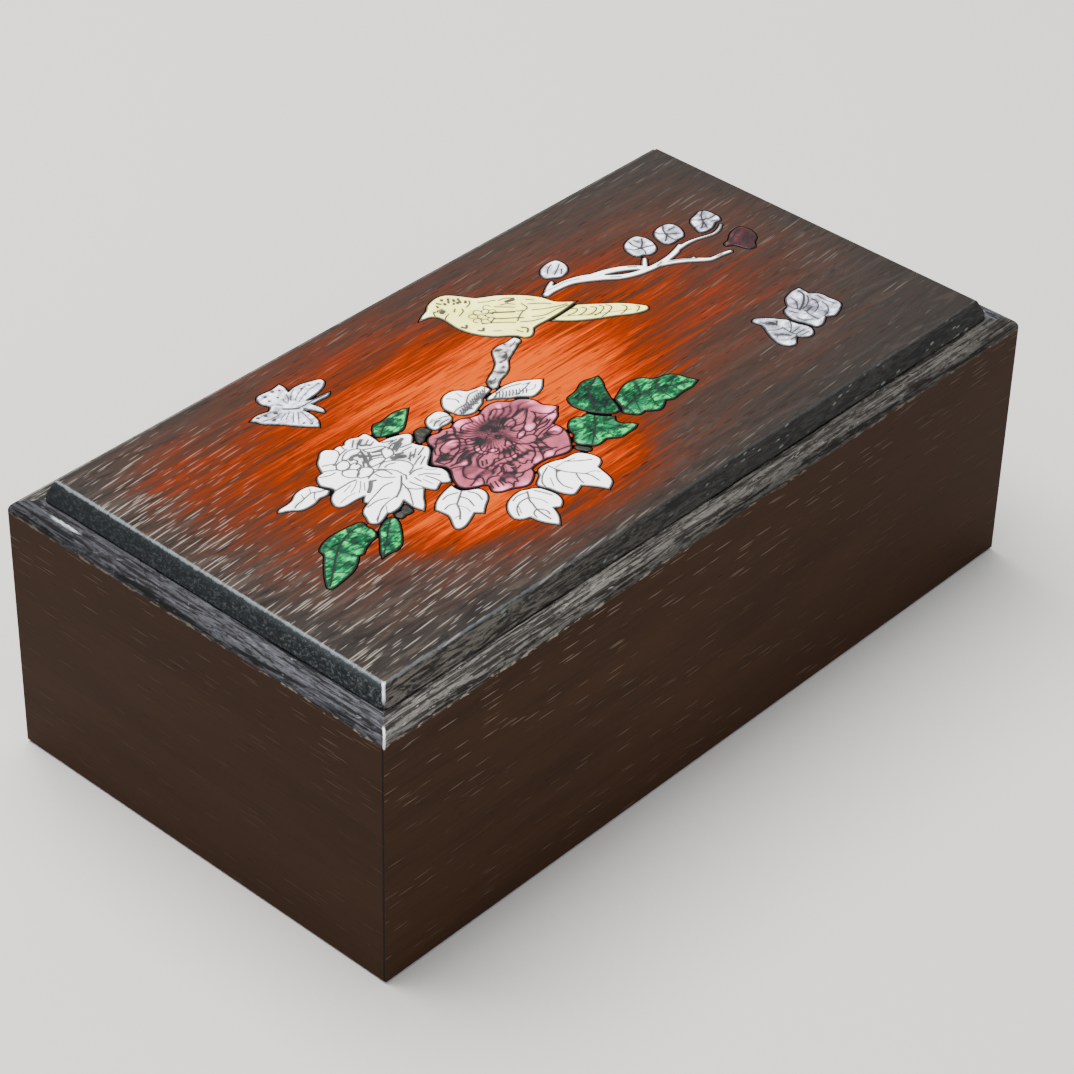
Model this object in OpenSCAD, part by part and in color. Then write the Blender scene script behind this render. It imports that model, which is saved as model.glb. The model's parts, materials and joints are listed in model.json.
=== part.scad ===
// Lacquered hardwood box with a lift-off lid.
// The lid carries a bird-and-flower picture in shell and stone, let into shallow pockets.
// Origin: centre of the footprint, on the surface that the box stands on.
// X runs along the length, Y from the front board to the back board, Z up.

/* [Box] */
// Length of the box over the end boards
box_l = 260; // [240:5:280]
// Depth of the box over the front and back boards
box_w = 140; // [130:2:150]
// Height of the four side boards
side_h = 82.5; // [70:0.5:95]
// Thickness of the side boards
board_t = 10; // [9:0.5:12]
// Radius of the rounded outer edge of the rim
rim_r = 3.2; // [1:0.1:3.5]

/* [Bottom] */
// Thickness of the bottom panel
panel_t = 5; // [4:0.5:6]
// Height of the bottom panel's underside above the base
panel_z = 3; // [2:0.5:5]
// Depth of the groove that holds the bottom panel
groove_d = 5; // [3:0.5:6]

/* [Lid] */
// Height of the lid panel above the rim
lid_t = 6.5; // [5:0.5:10]
// Set-back of the lid's lower edge from the outer faces
lid_inset = 6.7; // [4:0.1:8]
// Slope of the lid's edge, from its lower edge in to its top
lid_slope = 2.6; // [1:0.1:3]
// Radius of the lid's corners seen from above
lid_corner_r = 2; // [1:0.5:4]
// Height of the strips that hold the lid in place
strip_h = 5; // [4:0.5:8]
// Width of those strips
strip_w = 6; // [4:0.5:8]

/* [Inlay] */
// Depth of the pockets in the lid
pocket_d = 1.2; // [0.8:0.1:1.5]
// Amount that the inlay stands above the lid
inlay_proud = 0.3; // [0.1:0.1:0.5]
// Gap between each inlay and the wall of its pocket
pocket_gap = 0.35; // [0.2:0.05:0.4]

/* [Hidden] */
lid_z = side_h;
lid_top = lid_z + lid_t;
inlay_z = lid_top - pocket_d;
inlay_t = pocket_d + inlay_proud;
opening_l = box_l - 2 * board_t;
opening_w = box_w - 2 * board_t;
// Small roundings and clearances
edge_r = 0.6;
top_r = 1.2;
strip_gap = 0.4;
panel_gap = 0.5;
// Thinnest wall of wood left between two pockets
ridge = 0.5;
// Loose tongue hidden in each mitre
key_w = 8;
key_t = 3;
key_z = [14, 70];
key_in = 6;
// Strips under the lid: lengths, and distances of their middles from the lid's centre
strip_l = opening_l - 2 * strip_gap;
strip_reach = (opening_w - strip_w) / 2 - strip_gap;
end_strip_l = opening_w - 2 * strip_gap - 2 * strip_w;
end_strip_reach = (opening_l - strip_w) / 2 - strip_gap;
// Colours
DARK_WOOD = [0.22, 0.16, 0.13];
LID_WOOD = [0.45, 0.18, 0.09];
SHELL = [0.93, 0.92, 0.9];
PEARL = [0.8, 0.8, 0.84];
PINK = [0.78, 0.4, 0.47];
PURPLE = [0.35, 0.2, 0.22];
GREEN = [0.12, 0.52, 0.28];
CREAM = [0.9, 0.87, 0.66];
GREY = [0.33, 0.32, 0.32];
// Points worked out between two hand-set points of a curve
steps = 2;
$fn = 48;

// ---------- curves ----------
// A point is [x, y], or [x, y, 1] where the outline turns a sharp corner.
function xy(p) = [p[0], p[1]];
function unit(v) = v / max(norm(v), 1e-6);
function sharp(p) = len(p) == 3;

// Direction in which the curve passes point i, closed or open
function heading(p, i, closed) =
  let (n = len(p))
  let (a = closed ? p[(i + n - 1) % n] : p[max(i - 1, 0)])
  let (b = closed ? p[(i + 1) % n] : p[min(i + 1, n - 1)])
  unit(xy(b) - xy(a));

// Cubic piece from a to b that leaves along u and arrives along v
function cubic(a, b, u, v, t) =
  let (h = norm(b - a))
  (2 * pow(t, 3) - 3 * t * t + 1) * a + (pow(t, 3) - 2 * t * t + t) * h * u
  + (3 * t * t - 2 * pow(t, 3)) * b + (pow(t, 3) - t * t) * h * v;

// Smooth closed curve through the points, with its sharp corners kept
function smooth(p) =
  let (n = len(p))
  [for (i = [0 : n - 1], j = [0 : steps - 1])
    let (a = p[i], b = p[(i + 1) % n], chord = unit(xy(b) - xy(a)))
    let (u = sharp(a) ? chord : heading(p, i, true))
    let (v = sharp(b) ? chord : heading(p, (i + 1) % n, true))
    cubic(xy(a), xy(b), u, v, j / steps)];

// Closed outline of a twig: points are [x, y, width], with pointed ends
function twig(p) =
  let (n = len(p))
  let (mid = [for (i = [0 : n - 2], j = [0 : steps - 1])
    concat(
      cubic(xy(p[i]), xy(p[i + 1]), heading(p, i, false), heading(p, i + 1, false), j / steps),
      p[i][2] + (p[i + 1][2] - p[i][2]) * j / steps)])
  let (line = concat(mid, [p[n - 1]]), m = len(line))
  let (ways = [for (i = [0 : m - 1]) heading(line, i, false)])
  let (out = [for (i = [0 : m - 1]) line[i][2] / 2 * [-ways[i][1], ways[i][0]]])
  concat(
    [xy(line[0]) - line[0][2] / 3 * ways[0]],
    [for (i = [0 : m - 1]) xy(line[i]) + out[i]],
    [xy(line[m - 1]) + line[m - 1][2] / 3 * ways[m - 1]],
    [for (i = [m - 1 : -1 : 0]) xy(line[i]) - out[i]]);

// ---------- outlines of the picture, in millimetres from the lid's centre ----------
BIRD_BODY = [
  [0.9, 45.3, 1], [3.5, 46.7], [6, 47.6], [8, 49.1], [11.5, 50.2], [14.7, 50], [17, 48.2], [19.3, 44.7],
  [21, 42.2], [25.5, 39.4], [29.4, 36], [32.4, 32.5], [34.4, 29], [35.5, 25], [37.4, 22.8],
  [39.9, 20.6, 1], [35, 20], [30.5, 19.7], [25.8, 19.8], [21.3, 19.8], [19.6, 18.4], [17.4, 17.5],
  [15.6, 18.4], [14.9, 20.2], [13, 22.2], [10.6, 24.2], [8.2, 27.3], [6.4, 31.4], [5.8, 35.6],
  [6.2, 40], [6, 42.6], [4.6, 44.3], [2.6, 44.8]];
BIRD_TAIL = [
  [27.3, 18.9, 1], [31, 19], [35, 19.2], [38.4, 19.4, 1], [41, 17.4], [44.3, 14.4], [47.2, 11.9],
  [49.5, 9.2], [51.3, 6.4], [52.2, 4.4], [50.9, 3.1], [48.2, 3.6], [45.1, 5.2], [41.8, 7.5],
  [37.8, 9.8], [34.2, 12.2], [30.7, 15.1]];
STUMP = [
  [14.2, 19.4], [13.4, 20.7], [10.8, 20.6], [7, 20.9], [4.3, 20.3], [2.6, 18.4], [0.5, 15.6],
  [-1.9, 13.9], [-4.7, 12.6], [-7.9, 10.9], [-8.9, 9], [-9, 7.4, 1], [-7.8, 6.8], [-6.1, 7.7],
  [-4.2, 8.8], [-1.1, 9.6], [1.7, 11.2], [4.3, 13.8], [7, 15.1], [9.7, 16.3], [12, 17.4], [13.8, 17.9]];
// Each twig of the branch: x, y and width along it
BRANCH = [
  [[35.9, 28.9, 2.2], [38.4, 29.4, 2.6], [42, 29.4, 3], [46, 28.8, 3.2], [50, 27.1, 3.8], [54, 24.6, 4]],
  [[51, 26, 3], [54.6, 23.3, 2.8], [58, 20.4, 2.6], [61.6, 18.5, 2.4], [66, 17.3, 2.4], [71, 16.7, 2.4],
    [76, 17, 2.2], [80, 17.8, 2.2], [83.4, 19.2, 1.5]],
  [[53, 26.2, 2.6], [57, 25, 2.7], [61, 23.2, 2.8], [64.6, 20.7, 2.6], [67, 18.2, 2.2]],
  [[66.6, 18, 1.8], [68.6, 20, 1.8], [70.6, 21.7, 1.5]],
  [[81, 18.1, 1.8], [85, 18.4, 1.6], [89, 17.9, 1.3], [92.6, 16.8, 1.2], [95.4, 16.2, 1.2], [98.4, 16.9, 1.2],
    [100.6, 18.1, 1]],
  [[71.5, 16.4, 2.6], [75, 14.6, 2.4], [78.4, 12.4, 2.4], [81.6, 9.6, 2.2], [84, 7.7, 1.8], [87.4, 7.3, 1.7],
    [91.4, 6.4, 1.5]],
  [[78.6, 11.6, 2], [80.2, 11.6, 1.6], [81.4, 12, 0.8]],
  [[37.6, 29.8, 2], [40, 31.2, 1.9], [42.4, 32.4, 1.4]]];
BUD = [
  [42.3, 35], [43, 37.6], [45.4, 39.5], [48.5, 40.1], [51.4, 39.7], [52.2, 38.2], [52, 35.6],
  [50.5, 33.5], [48, 32.3], [45.9, 32.3], [44.2, 33.5]];
BLOSSOM_NEAR = [
  [69.4, 25], [69.8, 28.2], [71.5, 30.6], [74.5, 31.8], [77.4, 31.8], [78.9, 30], [79.3, 27.4],
  [78.6, 24.8], [77, 22.6], [74.6, 21.6], [72.8, 22], [71.6, 23.1], [70.2, 23.5]];
BLOSSOM_MID = [
  [80.5, 23.4], [81, 26.2], [82.4, 28.6], [84.6, 29.8], [87.2, 30.1], [89.6, 29.4], [90.8, 27.4],
  [90.5, 25], [89.3, 22.8], [87.4, 21.3], [85.4, 21.4], [83.4, 21.2], [81.4, 21.6]];
BLOSSOM_FAR = [
  [92.6, 19.8], [93.6, 22.4], [94.6, 24.8], [96.4, 26.3], [99, 26.9], [101.6, 27.4], [103.2, 26.2],
  [103.7, 23.6], [103.4, 21], [102.2, 19.6], [100.2, 19.8], [98.2, 18.8], [96.2, 18.4], [94, 18.6]];
BLOSSOM_DARK = [
  [92.4, 9.2], [93.2, 10.6], [95.2, 10.8], [97.6, 12.4], [100.6, 13.4], [103.4, 13.3], [104.4, 11],
  [104, 8.2], [102.4, 5.8], [100, 4.6], [98.2, 2.8], [96.2, 3.2], [95.2, 5.4], [94.4, 7.8]];
PINK_PEONY = [
  [-40.6, -0.4], [-40.2, 2], [-38.6, 3.7], [-36.5, 4.1], [-34.8, 3.5], [-32.8, 3.8], [-30.6, 2.9],
  [-28.2, 3.8], [-26, 3.8], [-23.8, 2.6], [-21, 1.7], [-18.8, 2.5], [-16.4, 3], [-13.8, 2.8],
  [-11.8, 1.6], [-10.2, -0.1], [-7.8, -1], [-5.8, -3], [-4.9, -5], [-5, -7.4], [-3.6, -9.4],
  [-2.7, -11, 1], [-4.6, -12.6], [-6.4, -14.3], [-9.8, -15.6, 1], [-9.4, -18], [-9.8, -20.4],
  [-11.2, -23], [-13.2, -25.4], [-15.4, -27.4], [-18.4, -27.3], [-21, -26.2, 1], [-23.6, -25.5],
  [-27, -25.4], [-29.2, -25.8, 1], [-30, -27.4], [-32.2, -29.1], [-35, -30.2], [-37.4, -29.5],
  [-39.4, -28.2], [-41.6, -27.6], [-43.4, -26.5], [-44, -25.1], [-42.8, -23.2], [-43, -22, 1],
  [-45.8, -20.8], [-48, -19.2], [-48.6, -17.3], [-47.8, -15], [-46.4, -12.8], [-44.9, -10.8],
  [-44.7, -8.8], [-46, -6.6], [-46.2, -5.2], [-44, -3], [-42.2, -1.4]];
WHITE_PEONY = [
  [-73.9, 9], [-73, 11], [-71.6, 12.4], [-69.6, 12.6, 1], [-68.6, 14.8], [-67.4, 16.7], [-65.4, 18.2, 1],
  [-63.6, 19.6], [-61.6, 19.7], [-59.9, 18.2, 1], [-58.2, 18.4], [-56.6, 17.6, 1], [-55, 18.7],
  [-53, 18.6], [-51, 17.6], [-48.9, 17.7], [-48.4, 16], [-48.5, 13.6], [-48.8, 11.8, 1], [-46.4, 11.6],
  [-43.2, 10.6], [-41.2, 9.7], [-40.3, 8.4], [-41, 6.9], [-42.8, 5.4, 1], [-42.3, 3.4], [-41.2, 1.4],
  [-41.5, 0], [-43, -1.6], [-45.2, -3.2], [-47.3, -4.9], [-47, -6.4], [-45.8, -8.4], [-45.9, -10.8],
  [-47.3, -13], [-48.6, -14.5], [-50.6, -12.9, 1], [-52.2, -13.6], [-54, -14.2], [-55.3, -11.4, 1],
  [-58.6, -14.4], [-60.6, -16.8], [-62.7, -18.4, 1], [-63.5, -15.4], [-63.1, -11.4, 1], [-66, -12.8],
  [-69.2, -13], [-70.1, -12.4, 1], [-72.6, -13.4], [-75, -13.8], [-76.6, -12.2], [-75.6, -9.8],
  [-74.6, -7.6], [-73, -6.4], [-70.6, -5.5, 1], [-71.1, -4.4], [-69, -2.7, 1], [-72.4, -2.4],
  [-75.8, -2.3], [-77.5, -1], [-77.3, 0.8], [-76, 2.8], [-74.4, 3.9], [-72.6, 5], [-73.2, 7]];
BACK_PETAL_LEFT = [
  [-34.6, 5.6], [-34.6, 7.6], [-33.6, 9.4], [-31.9, 10.6], [-29.7, 11], [-27.9, 10.9], [-26.6, 9.8],
  [-26.3, 8.2], [-26.6, 6.3], [-27.6, 5.1], [-29.6, 4.6], [-32, 4.8], [-33.8, 4.7]];
BACK_PETAL_MID = [
  [-25.4, 10.4], [-24, 12.6], [-22.2, 14.2], [-20, 14.9], [-17.9, 14.7], [-16.1, 13.6], [-14.9, 11.8, 1],
  [-12.4, 11], [-10.2, 10.5], [-9.7, 9], [-9.9, 7.4], [-12.2, 6.9], [-14.6, 6], [-16.2, 4.6],
  [-18.4, 3.9], [-20.6, 3.1], [-23, 3.8], [-24.6, 5.2], [-25.2, 7.6]];
BACK_PETAL_RIGHT = [
  [-14.2, 4.7], [-12.2, 5.8], [-9.4, 6], [-6.2, 6.3], [-4.4, 6], [-2.2, 5.4], [1.7, 2.9], [4.2, 0.8, 1],
  [2.6, -0.6], [0.6, -2.1], [-1.9, -2.9], [-4, -3], [-5.4, -1.8], [-7, -0.2], [-9, 0.8], [-10.7, 2.5],
  [-12.4, 3.8]];
WHITE_LEAF_TIP = [
  [-90, 8.2], [-88.8, 9.1], [-86, 9.2], [-83.6, 9.7], [-81.6, 10.9], [-79.4, 11.4], [-77, 11.2],
  [-75.4, 10.3], [-74.7, 8.8], [-74.1, 7], [-73.6, 5.6, 1], [-75.4, 4.6], [-77.8, 4.9], [-80.4, 4.2],
  [-83.4, 4.2], [-85.4, 4.9], [-86.8, 6.2], [-88.4, 7.2]];
WHITE_LEAF_LEFT = [
  [-60.5, -20.2, 1], [-58.2, -18.2], [-55.2, -16.8], [-52.4, -16], [-49.4, -15.5, 1], [-49.7, -17.4],
  [-49.3, -19.2], [-47.4, -20.6], [-45.8, -21.6], [-45.2, -23], [-45.6, -25], [-47.3, -26.9],
  [-49.8, -28.4], [-52.5, -30.4, 1], [-54.2, -28.5, 1], [-56.6, -29.6], [-59.6, -30.7], [-62.2, -30.6],
  [-62.5, -29], [-61.2, -26.8], [-59.9, -24.2]];
WHITE_LEAF_FRONT = [
  [-38.4, -30.4], [-41.4, -30.4], [-44.6, -31.4], [-46.9, -33.2], [-48.4, -35.6], [-48.8, -37.8],
  [-47.4, -39.6], [-45.4, -40.3, 1], [-45.2, -42.6], [-44.2, -45.2], [-42.4, -48.1, 1], [-40.2, -45.9],
  [-38.8, -43.6], [-38.1, -41.8, 1], [-36.5, -43, 1], [-34.6, -41.9], [-33.4, -40.2], [-33, -38],
  [-33.4, -35.6], [-34.2, -33.2], [-35.6, -31.8], [-37, -31.2]];
WHITE_LEAF_RIGHT = [
  [-33.6, -31.6], [-32, -30.4], [-30, -29.2], [-28.9, -27.6], [-27.2, -26.9], [-24.6, -27], [-22, -27.7],
  [-19.8, -28.7], [-17.4, -28.9], [-15.4, -29.4], [-14, -31], [-13, -33.4], [-12.9, -35.6],
  [-14.2, -37.2], [-16.2, -38, 1], [-16.7, -40.4], [-17.3, -43], [-18.6, -45.2], [-21.7, -46.8, 1],
  [-22.7, -44.6], [-24, -42.6], [-25.6, -40.4, 1], [-28, -41.3], [-30, -41.6], [-31.5, -39.6],
  [-32.2, -37.6], [-32.6, -35.2], [-33.5, -33.2]];
GREEN_LEAF_TOP = [
  [-47.8, 14.4], [-46.2, 17.2], [-44, 18.8], [-42, 18.3], [-39.6, 18.6], [-36.4, 19], [-33.6, 18.4],
  [-31.8, 17.5, 1], [-34.2, 15.6], [-37, 13.4], [-39.2, 11.8], [-41, 11.2], [-43.4, 11.9], [-46, 12.7]];
GREEN_LEAF_UPPER = [
  [0.1, -14.4], [0.7, -11.8], [2.2, -10.1], [4.8, -9.8], [7.4, -9.1], [9.4, -8.1], [11.6, -7.9],
  [13.7, -8.5], [15.9, -9.2, 1], [14.8, -11.8], [13.3, -13.7], [12.1, -15.6], [11, -17.6], [10, -19.6],
  [9, -22], [7.6, -24.5, 1], [5.4, -24.4], [3.4, -22.4], [1.8, -20], [0.7, -17.6]];
GREEN_LEAF_LOWER = [
  [-9, -21], [-7.8, -19.3], [-5.5, -17.9], [-3.4, -17.9], [-1.6, -19.1, 1], [0, -18.9], [1.1, -21],
  [2.8, -23.4], [4.6, -25.4, 1], [3.2, -27], [3.6, -29], [5.2, -30.6], [6.2, -32.2, 1], [4, -33.1],
  [1.4, -33.1], [-1.3, -33.3], [-3, -32.2], [-5, -30.8, 1], [-7.4, -31.2], [-9.2, -31], [-10.6, -29.4],
  [-12.2, -26.8], [-11.6, -24.8], [-9.8, -23.3]];
GREEN_LEAF_LONG = [
  [10.9, -19.8], [13, -18.8], [15.2, -17.9], [17.6, -17.2], [20.2, -17.1], [22.9, -17.9], [24.4, -19.2],
  [25, -20.7, 1], [26.9, -21.4], [29.1, -22], [31.2, -23.4], [32.1, -25.4], [32.7, -27.6], [33.8, -30.1, 1],
  [30.2, -31.1], [27.2, -31], [24.5, -31.1], [22.2, -31.4], [20.1, -30.2, 1], [17.8, -31.6],
  [15.6, -32.2], [13.8, -31], [12.2, -29.6, 1], [10.2, -29.8], [8.8, -28.4], [7.6, -26.6], [7.5, -25.5],
  [8.8, -24.2], [10, -21.6]];
GREEN_LEAF_BIG = [
  [-103.6, -24], [-102.6, -22.2], [-100, -19], [-97, -15.8], [-94.4, -13.1], [-94.2, -11.4], [-92.4, -10.1],
  [-89.8, -9.1], [-86.4, -8.8], [-83, -9], [-79.8, -9.4], [-77.5, -10.3], [-78, -12.6], [-77.8, -14.6],
  [-79, -17.1], [-81.4, -17.9], [-84.6, -18.9], [-86.8, -20.3], [-88.4, -20, 1], [-90.8, -22],
  [-93.6, -23.5], [-97, -24.3], [-100.4, -24.8], [-102.8, -24.9]];
GREEN_LEAF_SMALL = [
  [-84.9, -25, 1], [-83.4, -22.7], [-80.8, -20], [-78.4, -17.5], [-77, -15.9], [-75, -14.9], [-72.8, -14.1],
  [-70.8, -14.2], [-70.2, -15.8], [-71.4, -18.2], [-73.2, -20.5], [-75.4, -22.9], [-77.7, -24.8],
  [-80.2, -25.3], [-82.6, -24.8]];
SEPAL_LEFT = [
  [-69.4, -14], [-67, -14], [-64.4, -12.8], [-64.3, -15], [-64.9, -16.6], [-67.4, -16.4], [-69.2, -16.6]];
SEPAL_MID = [
  [-41.8, 3.9], [-41, 5.8], [-39.9, 7.2], [-38.7, 8.6], [-36, 8.6], [-35.4, 7.2], [-35.4, 5.4],
  [-38.2, 4.8], [-40.4, 3.4]];
SEPAL_RIGHT = [[-14.3, -28], [-13.2, -26.9], [-11.9, -28.8], [-11, -30.8], [-12.3, -31.5], [-13.4, -30]];
BUTTERFLY_LEFT = [
  [-66.5, 43.6, 1], [-64.4, 44.3], [-61.8, 44.2], [-59.7, 43.5, 1], [-57.9, 44.8], [-58.7, 46.9],
  [-58.5, 49.2], [-56.9, 50.8], [-54.4, 50.8], [-51.6, 50.5], [-48.4, 51, 1], [-48.4, 48.6],
  [-49.2, 46.4, 1], [-47.4, 46.9], [-44.6, 46.8], [-41.4, 45.8], [-38.8, 44.6], [-38.8, 42.8],
  [-41.4, 41], [-44.6, 40.2], [-48.6, 39.7, 1], [-46.2, 39], [-43.6, 38.9], [-41.2, 38.4, 1],
  [-42.6, 37.2], [-45.6, 37.3], [-48.8, 37.5, 1], [-48.2, 35], [-48.4, 33], [-49.5, 32.2],
  [-50.6, 34.8], [-52.4, 37, 1], [-52.2, 34], [-52.9, 30.8], [-55, 28.2, 1], [-57.4, 30.8], [-59.2, 33.2],
  [-60.8, 35.4, 1], [-62, 37], [-64, 39.2], [-65.1, 40.6], [-65.4, 42]];
BUTTERFLY_RIGHT_TAIL = [
  [66.5, -22.4], [67.9, -21.5], [69.6, -22.4], [71.2, -23.8], [72.3, -25.2], [73.2, -26.6], [74.4, -28.2],
  [74.8, -30.2], [75.1, -32], [75.9, -34], [76.2, -36], [75.2, -37.7], [73.7, -38.7], [71.9, -38.5],
  [70.6, -37.6], [69.8, -36, 1], [68.2, -37.2], [66.8, -38.3], [65.1, -38.1], [64, -36.9], [63.4, -35.2],
  [63.7, -32.7], [64.8, -29.7], [66.2, -27.2], [67.1, -24.9]];
BUTTERFLY_RIGHT_WINGS = [
  [75.9, -27.6], [76.6, -25.8], [77.8, -24.7], [79.6, -24.3], [80.9, -22.8], [82.4, -21.3], [84.3, -20.5],
  [87, -20], [90, -20.3, 1], [89.8, -22.2], [89.6, -24.1, 1], [91.2, -25.8], [92, -27.6], [91.9, -29.6],
  [92.3, -32.2], [92, -34.2], [89.8, -35.7], [87.6, -36.6], [85.7, -37], [83.4, -35.5, 1], [81.2, -36.8],
  [79.3, -37.4], [77.5, -37], [77.1, -35.2], [76.7, -33.4], [75.9, -31.4], [75.6, -29.6]];

SMOOTH_OUTLINES = [
  BIRD_BODY, BIRD_TAIL, STUMP, BUD, BLOSSOM_NEAR, BLOSSOM_MID, BLOSSOM_FAR, BLOSSOM_DARK,
  PINK_PEONY, WHITE_PEONY, BACK_PETAL_LEFT, BACK_PETAL_MID, BACK_PETAL_RIGHT,
  WHITE_LEAF_TIP, WHITE_LEAF_LEFT, WHITE_LEAF_FRONT, WHITE_LEAF_RIGHT,
  GREEN_LEAF_TOP, GREEN_LEAF_UPPER, GREEN_LEAF_LOWER, GREEN_LEAF_LONG, GREEN_LEAF_BIG, GREEN_LEAF_SMALL,
  SEPAL_LEFT, SEPAL_MID, SEPAL_RIGHT,
  BUTTERFLY_LEFT, BUTTERFLY_RIGHT_TAIL, BUTTERFLY_RIGHT_WINGS];

// ---------- shared shapes ----------
// Upright rectangle w wide and h high with its corner at the origin.
// The four radii run anticlockwise from the lower left.
module rounded_section(w, h, r) {
  corners = [[0, 0], [w, 0], [w, h], [0, h]];
  inward = [[1, 1], [-1, 1], [-1, -1], [1, -1]];
  polygon([for (i = [0 : 3], k = [0, 1])
    corners[i] + [((i + k) % 2 == 0 ? 0 : 1) * inward[i][0], ((i + k) % 2 == 0 ? 1 : 0) * inward[i][1]] * r[i]]);
  for (i = [0 : 3]) translate(corners[i] + inward[i] * r[i]) circle(r = r[i]);
}

// Rectangle seen from above with rounded corners
module rounded_plan(l, w, r) {
  square([l - 2 * r, w], center = true);
  square([l, w - 2 * r], center = true);
  for (x = [-1, 1], y = [-1, 1]) translate([x * (l / 2 - r), y * (w / 2 - r)]) circle(r = r);
}

// One side board along X with its outer face at y = -reach, its ends mitred
module side_board(length, reach) {
  difference() {
    intersection() {
      translate([-length / 2, -reach, 0]) rotate([90, 0, 90]) linear_extrude(length)
        rounded_section(board_t, side_h, [edge_r, edge_r, edge_r, rim_r]);
      linear_extrude(side_h)
        polygon([[-length / 2, -reach], [length / 2, -reach],
          [length / 2 - board_t, board_t - reach], [board_t - length / 2, board_t - reach]]);
    }
    translate([-length / 2, board_t - groove_d - reach, panel_z]) cube([length, groove_d + 1, panel_t]);
    for (s = [-1, 1]) translate([s * (length / 2 - key_in), key_in - reach, 0]) rotate([0, 0, s * 45])
      key_bar();
  }
}

// The tongue's own bar, standing at the origin and lying along X
module key_bar() {
  translate([-key_w / 2, -key_t / 2, key_z[0]]) cube([key_w, key_t, key_z[1] - key_z[0]]);
}

// A tongue in the corner at the given sides, across the mitre
module mitre_key(sx, sy) {
  color("BurlyWood")
    translate([sx * (box_l / 2 - key_in), sy * (box_w / 2 - key_in), 0]) rotate([0, 0, -45 * sx * sy]) key_bar();
}

// One strip under the lid, centred on its length
module lid_strip(l, w) {
  color("SaddleBrown")
    translate([-l / 2, -w / 2, lid_z - strip_h]) cube([l, w, strip_h]);
}

// Lid panel without its pockets: two sloped-edge bars crossed, with rounded corners
module lid_blank() {
  foot_l = box_l - 2 * lid_inset;
  foot_w = box_w - 2 * lid_inset;
  intersection() {
    translate([-foot_l / 2, 0, lid_z]) rotate([90, 0, 90]) linear_extrude(foot_l) lid_section(foot_w);
    translate([0, foot_w / 2, lid_z]) rotate([90, 0, 0]) linear_extrude(foot_w) lid_section(foot_l);
    translate([0, 0, lid_z]) linear_extrude(lid_t) rounded_plan(foot_l, foot_w, lid_corner_r);
  }
}

// Section of the lid across its width w: a small bevel below, a slope, and a rounded top edge
module lid_section(w) {
  slope_a = atan2(lid_t - edge_r, lid_slope);
  top_w = w / 2 - lid_slope;
  // The top rounding touches the top face at out and the slope at touch
  out = top_w - top_r * tan(slope_a / 2);
  touch = [out + top_r * sin(slope_a), lid_t - top_r + top_r * cos(slope_a)];
  polygon([[-w / 2 + edge_r, 0], [w / 2 - edge_r, 0], [w / 2, edge_r],
    touch, [out, lid_t], [-out, lid_t], [-touch[0], touch[1]], [-w / 2, edge_r]]);
  for (s = [-1, 1]) translate([s * out, lid_t - top_r]) circle(r = top_r);
}

// An inlay of the picture with a smooth outline
module inlay(outline, colour) {
  color(colour) translate([0, 0, inlay_z]) linear_extrude(inlay_t) polygon(smooth(outline));
}

// ---------- the box ----------
module front_board() { color(DARK_WOOD) side_board(box_l, box_w / 2); }
module back_board() { color(DARK_WOOD) rotate([0, 0, 180]) side_board(box_l, box_w / 2); }
module left_end_board() { color(DARK_WOOD) rotate([0, 0, -90]) side_board(box_w, box_l / 2); }
module right_end_board() { color(DARK_WOOD) rotate([0, 0, 90]) side_board(box_w, box_l / 2); }

module bottom_panel() {
  l = opening_l + 2 * (groove_d - panel_gap);
  w = opening_w + 2 * (groove_d - panel_gap);
  color("SaddleBrown") translate([-l / 2, -w / 2, panel_z]) cube([l, w, panel_t]);
}

// ---------- the lid ----------
// Pockets of the whole picture: each outline grown by the gap, with thin walls between pockets cut away
module pockets() {
  offset(r = -ridge / 2, $fn = 12) offset(delta = pocket_gap + ridge / 2) {
    for (o = SMOOTH_OUTLINES) polygon(smooth(o));
    branch_plan();
  }
}

module branch_plan() {
  for (t = BRANCH) polygon(twig(t));
}

module lid_panel() {
  color(LID_WOOD) difference() {
    lid_blank();
    translate([0, 0, inlay_z]) linear_extrude(pocket_d + 1) pockets();
  }
}

module lid_strip_front() { translate([0, -strip_reach, 0]) lid_strip(strip_l, strip_w); }
module lid_strip_back() { translate([0, strip_reach, 0]) lid_strip(strip_l, strip_w); }
module lid_strip_left() { translate([-end_strip_reach, 0, 0]) lid_strip(strip_w, end_strip_l); }
module lid_strip_right() { translate([end_strip_reach, 0, 0]) lid_strip(strip_w, end_strip_l); }

// ---------- the picture ----------
module bird_body() { inlay(BIRD_BODY, CREAM); }
module bird_tail() { inlay(BIRD_TAIL, CREAM); }
module perch_stump() { inlay(STUMP, PEARL); }
module plum_branch() {
  color(SHELL) translate([0, 0, inlay_z]) linear_extrude(inlay_t) branch_plan();
}
module plum_bud() { inlay(BUD, PEARL); }
module plum_blossom_near() { inlay(BLOSSOM_NEAR, PEARL); }
module plum_blossom_mid() { inlay(BLOSSOM_MID, PEARL); }
module plum_blossom_far() { inlay(BLOSSOM_FAR, PEARL); }
module plum_blossom_dark() { inlay(BLOSSOM_DARK, PURPLE); }
module pink_peony() { inlay(PINK_PEONY, PINK); }
module white_peony() { inlay(WHITE_PEONY, SHELL); }
module back_petal_left() { inlay(BACK_PETAL_LEFT, SHELL); }
module back_petal_mid() { inlay(BACK_PETAL_MID, SHELL); }
module back_petal_right() { inlay(BACK_PETAL_RIGHT, SHELL); }
module white_leaf_tip() { inlay(WHITE_LEAF_TIP, SHELL); }
module white_leaf_left() { inlay(WHITE_LEAF_LEFT, SHELL); }
module white_leaf_front() { inlay(WHITE_LEAF_FRONT, SHELL); }
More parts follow.
